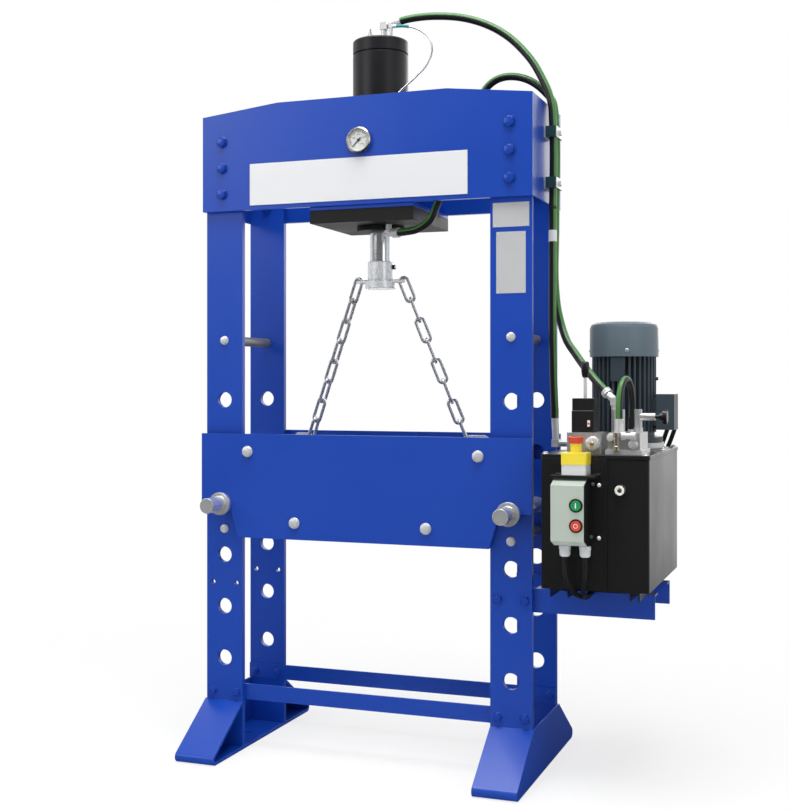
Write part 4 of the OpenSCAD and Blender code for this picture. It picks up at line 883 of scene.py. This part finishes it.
stub = [(0, 0), (7, 0), (8, 1), (8, 12), (6.5, 13), (6.5, 34), (8.5, 35), (8.5, 44), (0, 44)]
piece("elbow_stub", [turned(stub, (0.678, -0.206, 0.8295), UPWARD)], "gauge_steel", "frame")
bleed = [(0, 0), (5, 0), (5, 8), (3.2, 9), (3.2, 17), (0, 17.5)]
piece("bleed_screw", [turned(bleed, (-0.030, 0, 1.936), UPWARD, 30)], "gauge_steel", "frame")

# %% Motor collar, lug and valve tag
collar = [(80, 0.3), (102.2, 0.3), (103, 1.2), (103, 15), (102.2, 15.8), (80, 15.8), (80, 0.3)]
motor_collar = turned(collar, (motor_x, motor_y, lid_high.z), UPWARD, 96)
piece("motor_collar", [motor_collar], "block_steel", "frame")
tag = blocks((0.6085, -0.1910, 0.8945), (0.003, 0, 0), (0, 0.0012, 0), (0, 0, 0.0075))
piece("valve_tag", [tag], "mark_white", "frame")
dot = [(0, 0), (2.3, 0), (2.3, 1.2), (0, 1.4)]
piece("valve_dot", [turned(dot, (0.6085, -0.1920, 0.8945), FORWARD, 24)], "button_red", "frame")
lug = [(0, -1), (4.5, -1), (4.5, 6), (3.8, 7), (0, 7.2)]
lug_at = (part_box("fan_cover")[1].x - 0.007, motor_y, 1.003)
piece("motor_lug", [turned(lug, lug_at, RIGHTWARD, 24)], "motor_grey", "frame")

# %% Clamp bolts and set screw
CLAMP_BOLT = (14.2, 5, 9.5, 1.2)
clamp_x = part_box("hose_clamps")[1].x + 0.002
clamp_bolts = []
for z in (1.504, 1.634):
    clamp_bolts += bolt_head((clamp_x, -0.004, z), RIGHTWARD, *CLAMP_BOLT)
piece("clamp_bolts", clamp_bolts, "zinc", "frame")
sleeve_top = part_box("ram_head")[1].z
socket = [(0, 0), (6.4, 0), (6.4, 6.4), (5.8, 7), (3.2, 7), (3.2, 3), (0, 3)]
set_screw = turned(socket, (0.035, 0, sleeve_top - 0.015), RIGHTWARD, 30)
piece("set_screw", [set_screw], "knob_black", "ram")

# %% Rivets of the data plates
# Distance from the post's middle and height of each pair, in millimetres
RIVET_PAIRS = ((42, 1439), (42, 1386), (33, 1366), (33, 1220))
rivets = []
for x, z in RIVET_PAIRS:
    for side in SIDES:
        rivets.append(pan_screw((post_x + side * x * MM, -post_y - 0.001, z * MM), FORWARD, 1.8))
piece("plate_rivets", rivets, "zinc", "frame")

# %% [markdown]
# ## Controls
# The starter's buttons carry the usual marks, a bar for on and a ring for off, and stand in dark collars.
# Their faces are dished for the fingertip. A profile turned round the button's axis gives the dish, and the
# marks lie in it, flush with the rim, as moulded inlays do.
# The cable glands under the starter are pale plastic with a domed nut.

# %% Buttons
button_x = sum(corner.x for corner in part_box("start_button")) / 2
start_z, stop_z = (sum(c.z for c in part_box(name)) / 2 for name in ("start_button", "stop_button"))
button_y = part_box("start_button")[0].y
cover_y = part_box("starter_cover")[0].y
collar = [(12.4, 0), (16, 0), (16, 1.6), (15.2, 2.4), (13, 2.4), (12.4, 1.8), (12.4, 0)]
collars = [turned(collar, (button_x, cover_y, z), FORWARD) for z in (start_z, stop_z)]
piece("button_collars", collars, "starter_black", "frame")
button_r = (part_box("start_button")[1].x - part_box("start_button")[0].x) / MM / 2
button_end = (cover_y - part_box("start_button")[1].y) / MM
cap = [(0, button_end), (button_r - 2, button_end), (button_r - 2, -8), (button_r, -8), (button_r, 4.2),
       (button_r - 0.3, 4.8), (button_r - 0.9, 5), (button_r - 1.6, 4.9), (button_r - 3, 4.5), (0, 4.4)]
for node, z, colour in (("start_button", start_z, "button_green"), ("stop_button", stop_z, "button_red")):
    button = turned(cap, (button_x, cover_y, z), FORWARD)
    piece(node + "_dressed", [button], colour, body_of[node], stands_for=(node,))

# %% Button marks and cable glands
bar = blocks((button_x, button_y + 0.0004, start_z), (0.0013, 0, 0), (0, 0.0004, 0), (0, 0, 0.0062))
piece("start_mark", [bar], "mark_white", "start_button")
loop = [(4.0, -0.8), (5.2, -0.8), (5.2, 0), (4.0, 0), (4.0, -0.8)]
off_mark = turned(loop, (button_x, button_y, stop_z), FORWARD)
piece("stop_mark", [off_mark], "mark_white", "stop_button")
gland = [(6.3, -7), (9.5, -6.6), (12.0, -4), (13.0, 0.5), (13.0, 7), (12.4, 9), (13.8, 10), (13.8, 19.5),
         (6.3, 19.5), (6.3, -7)]
gland_nuts = [turned(gland, (x * MM, GLAND_Y * MM, GLAND_Z * MM), UPWARD) for x in GLAND_XS]
piece("gland_nuts", gland_nuts, "gland_grey", "frame")
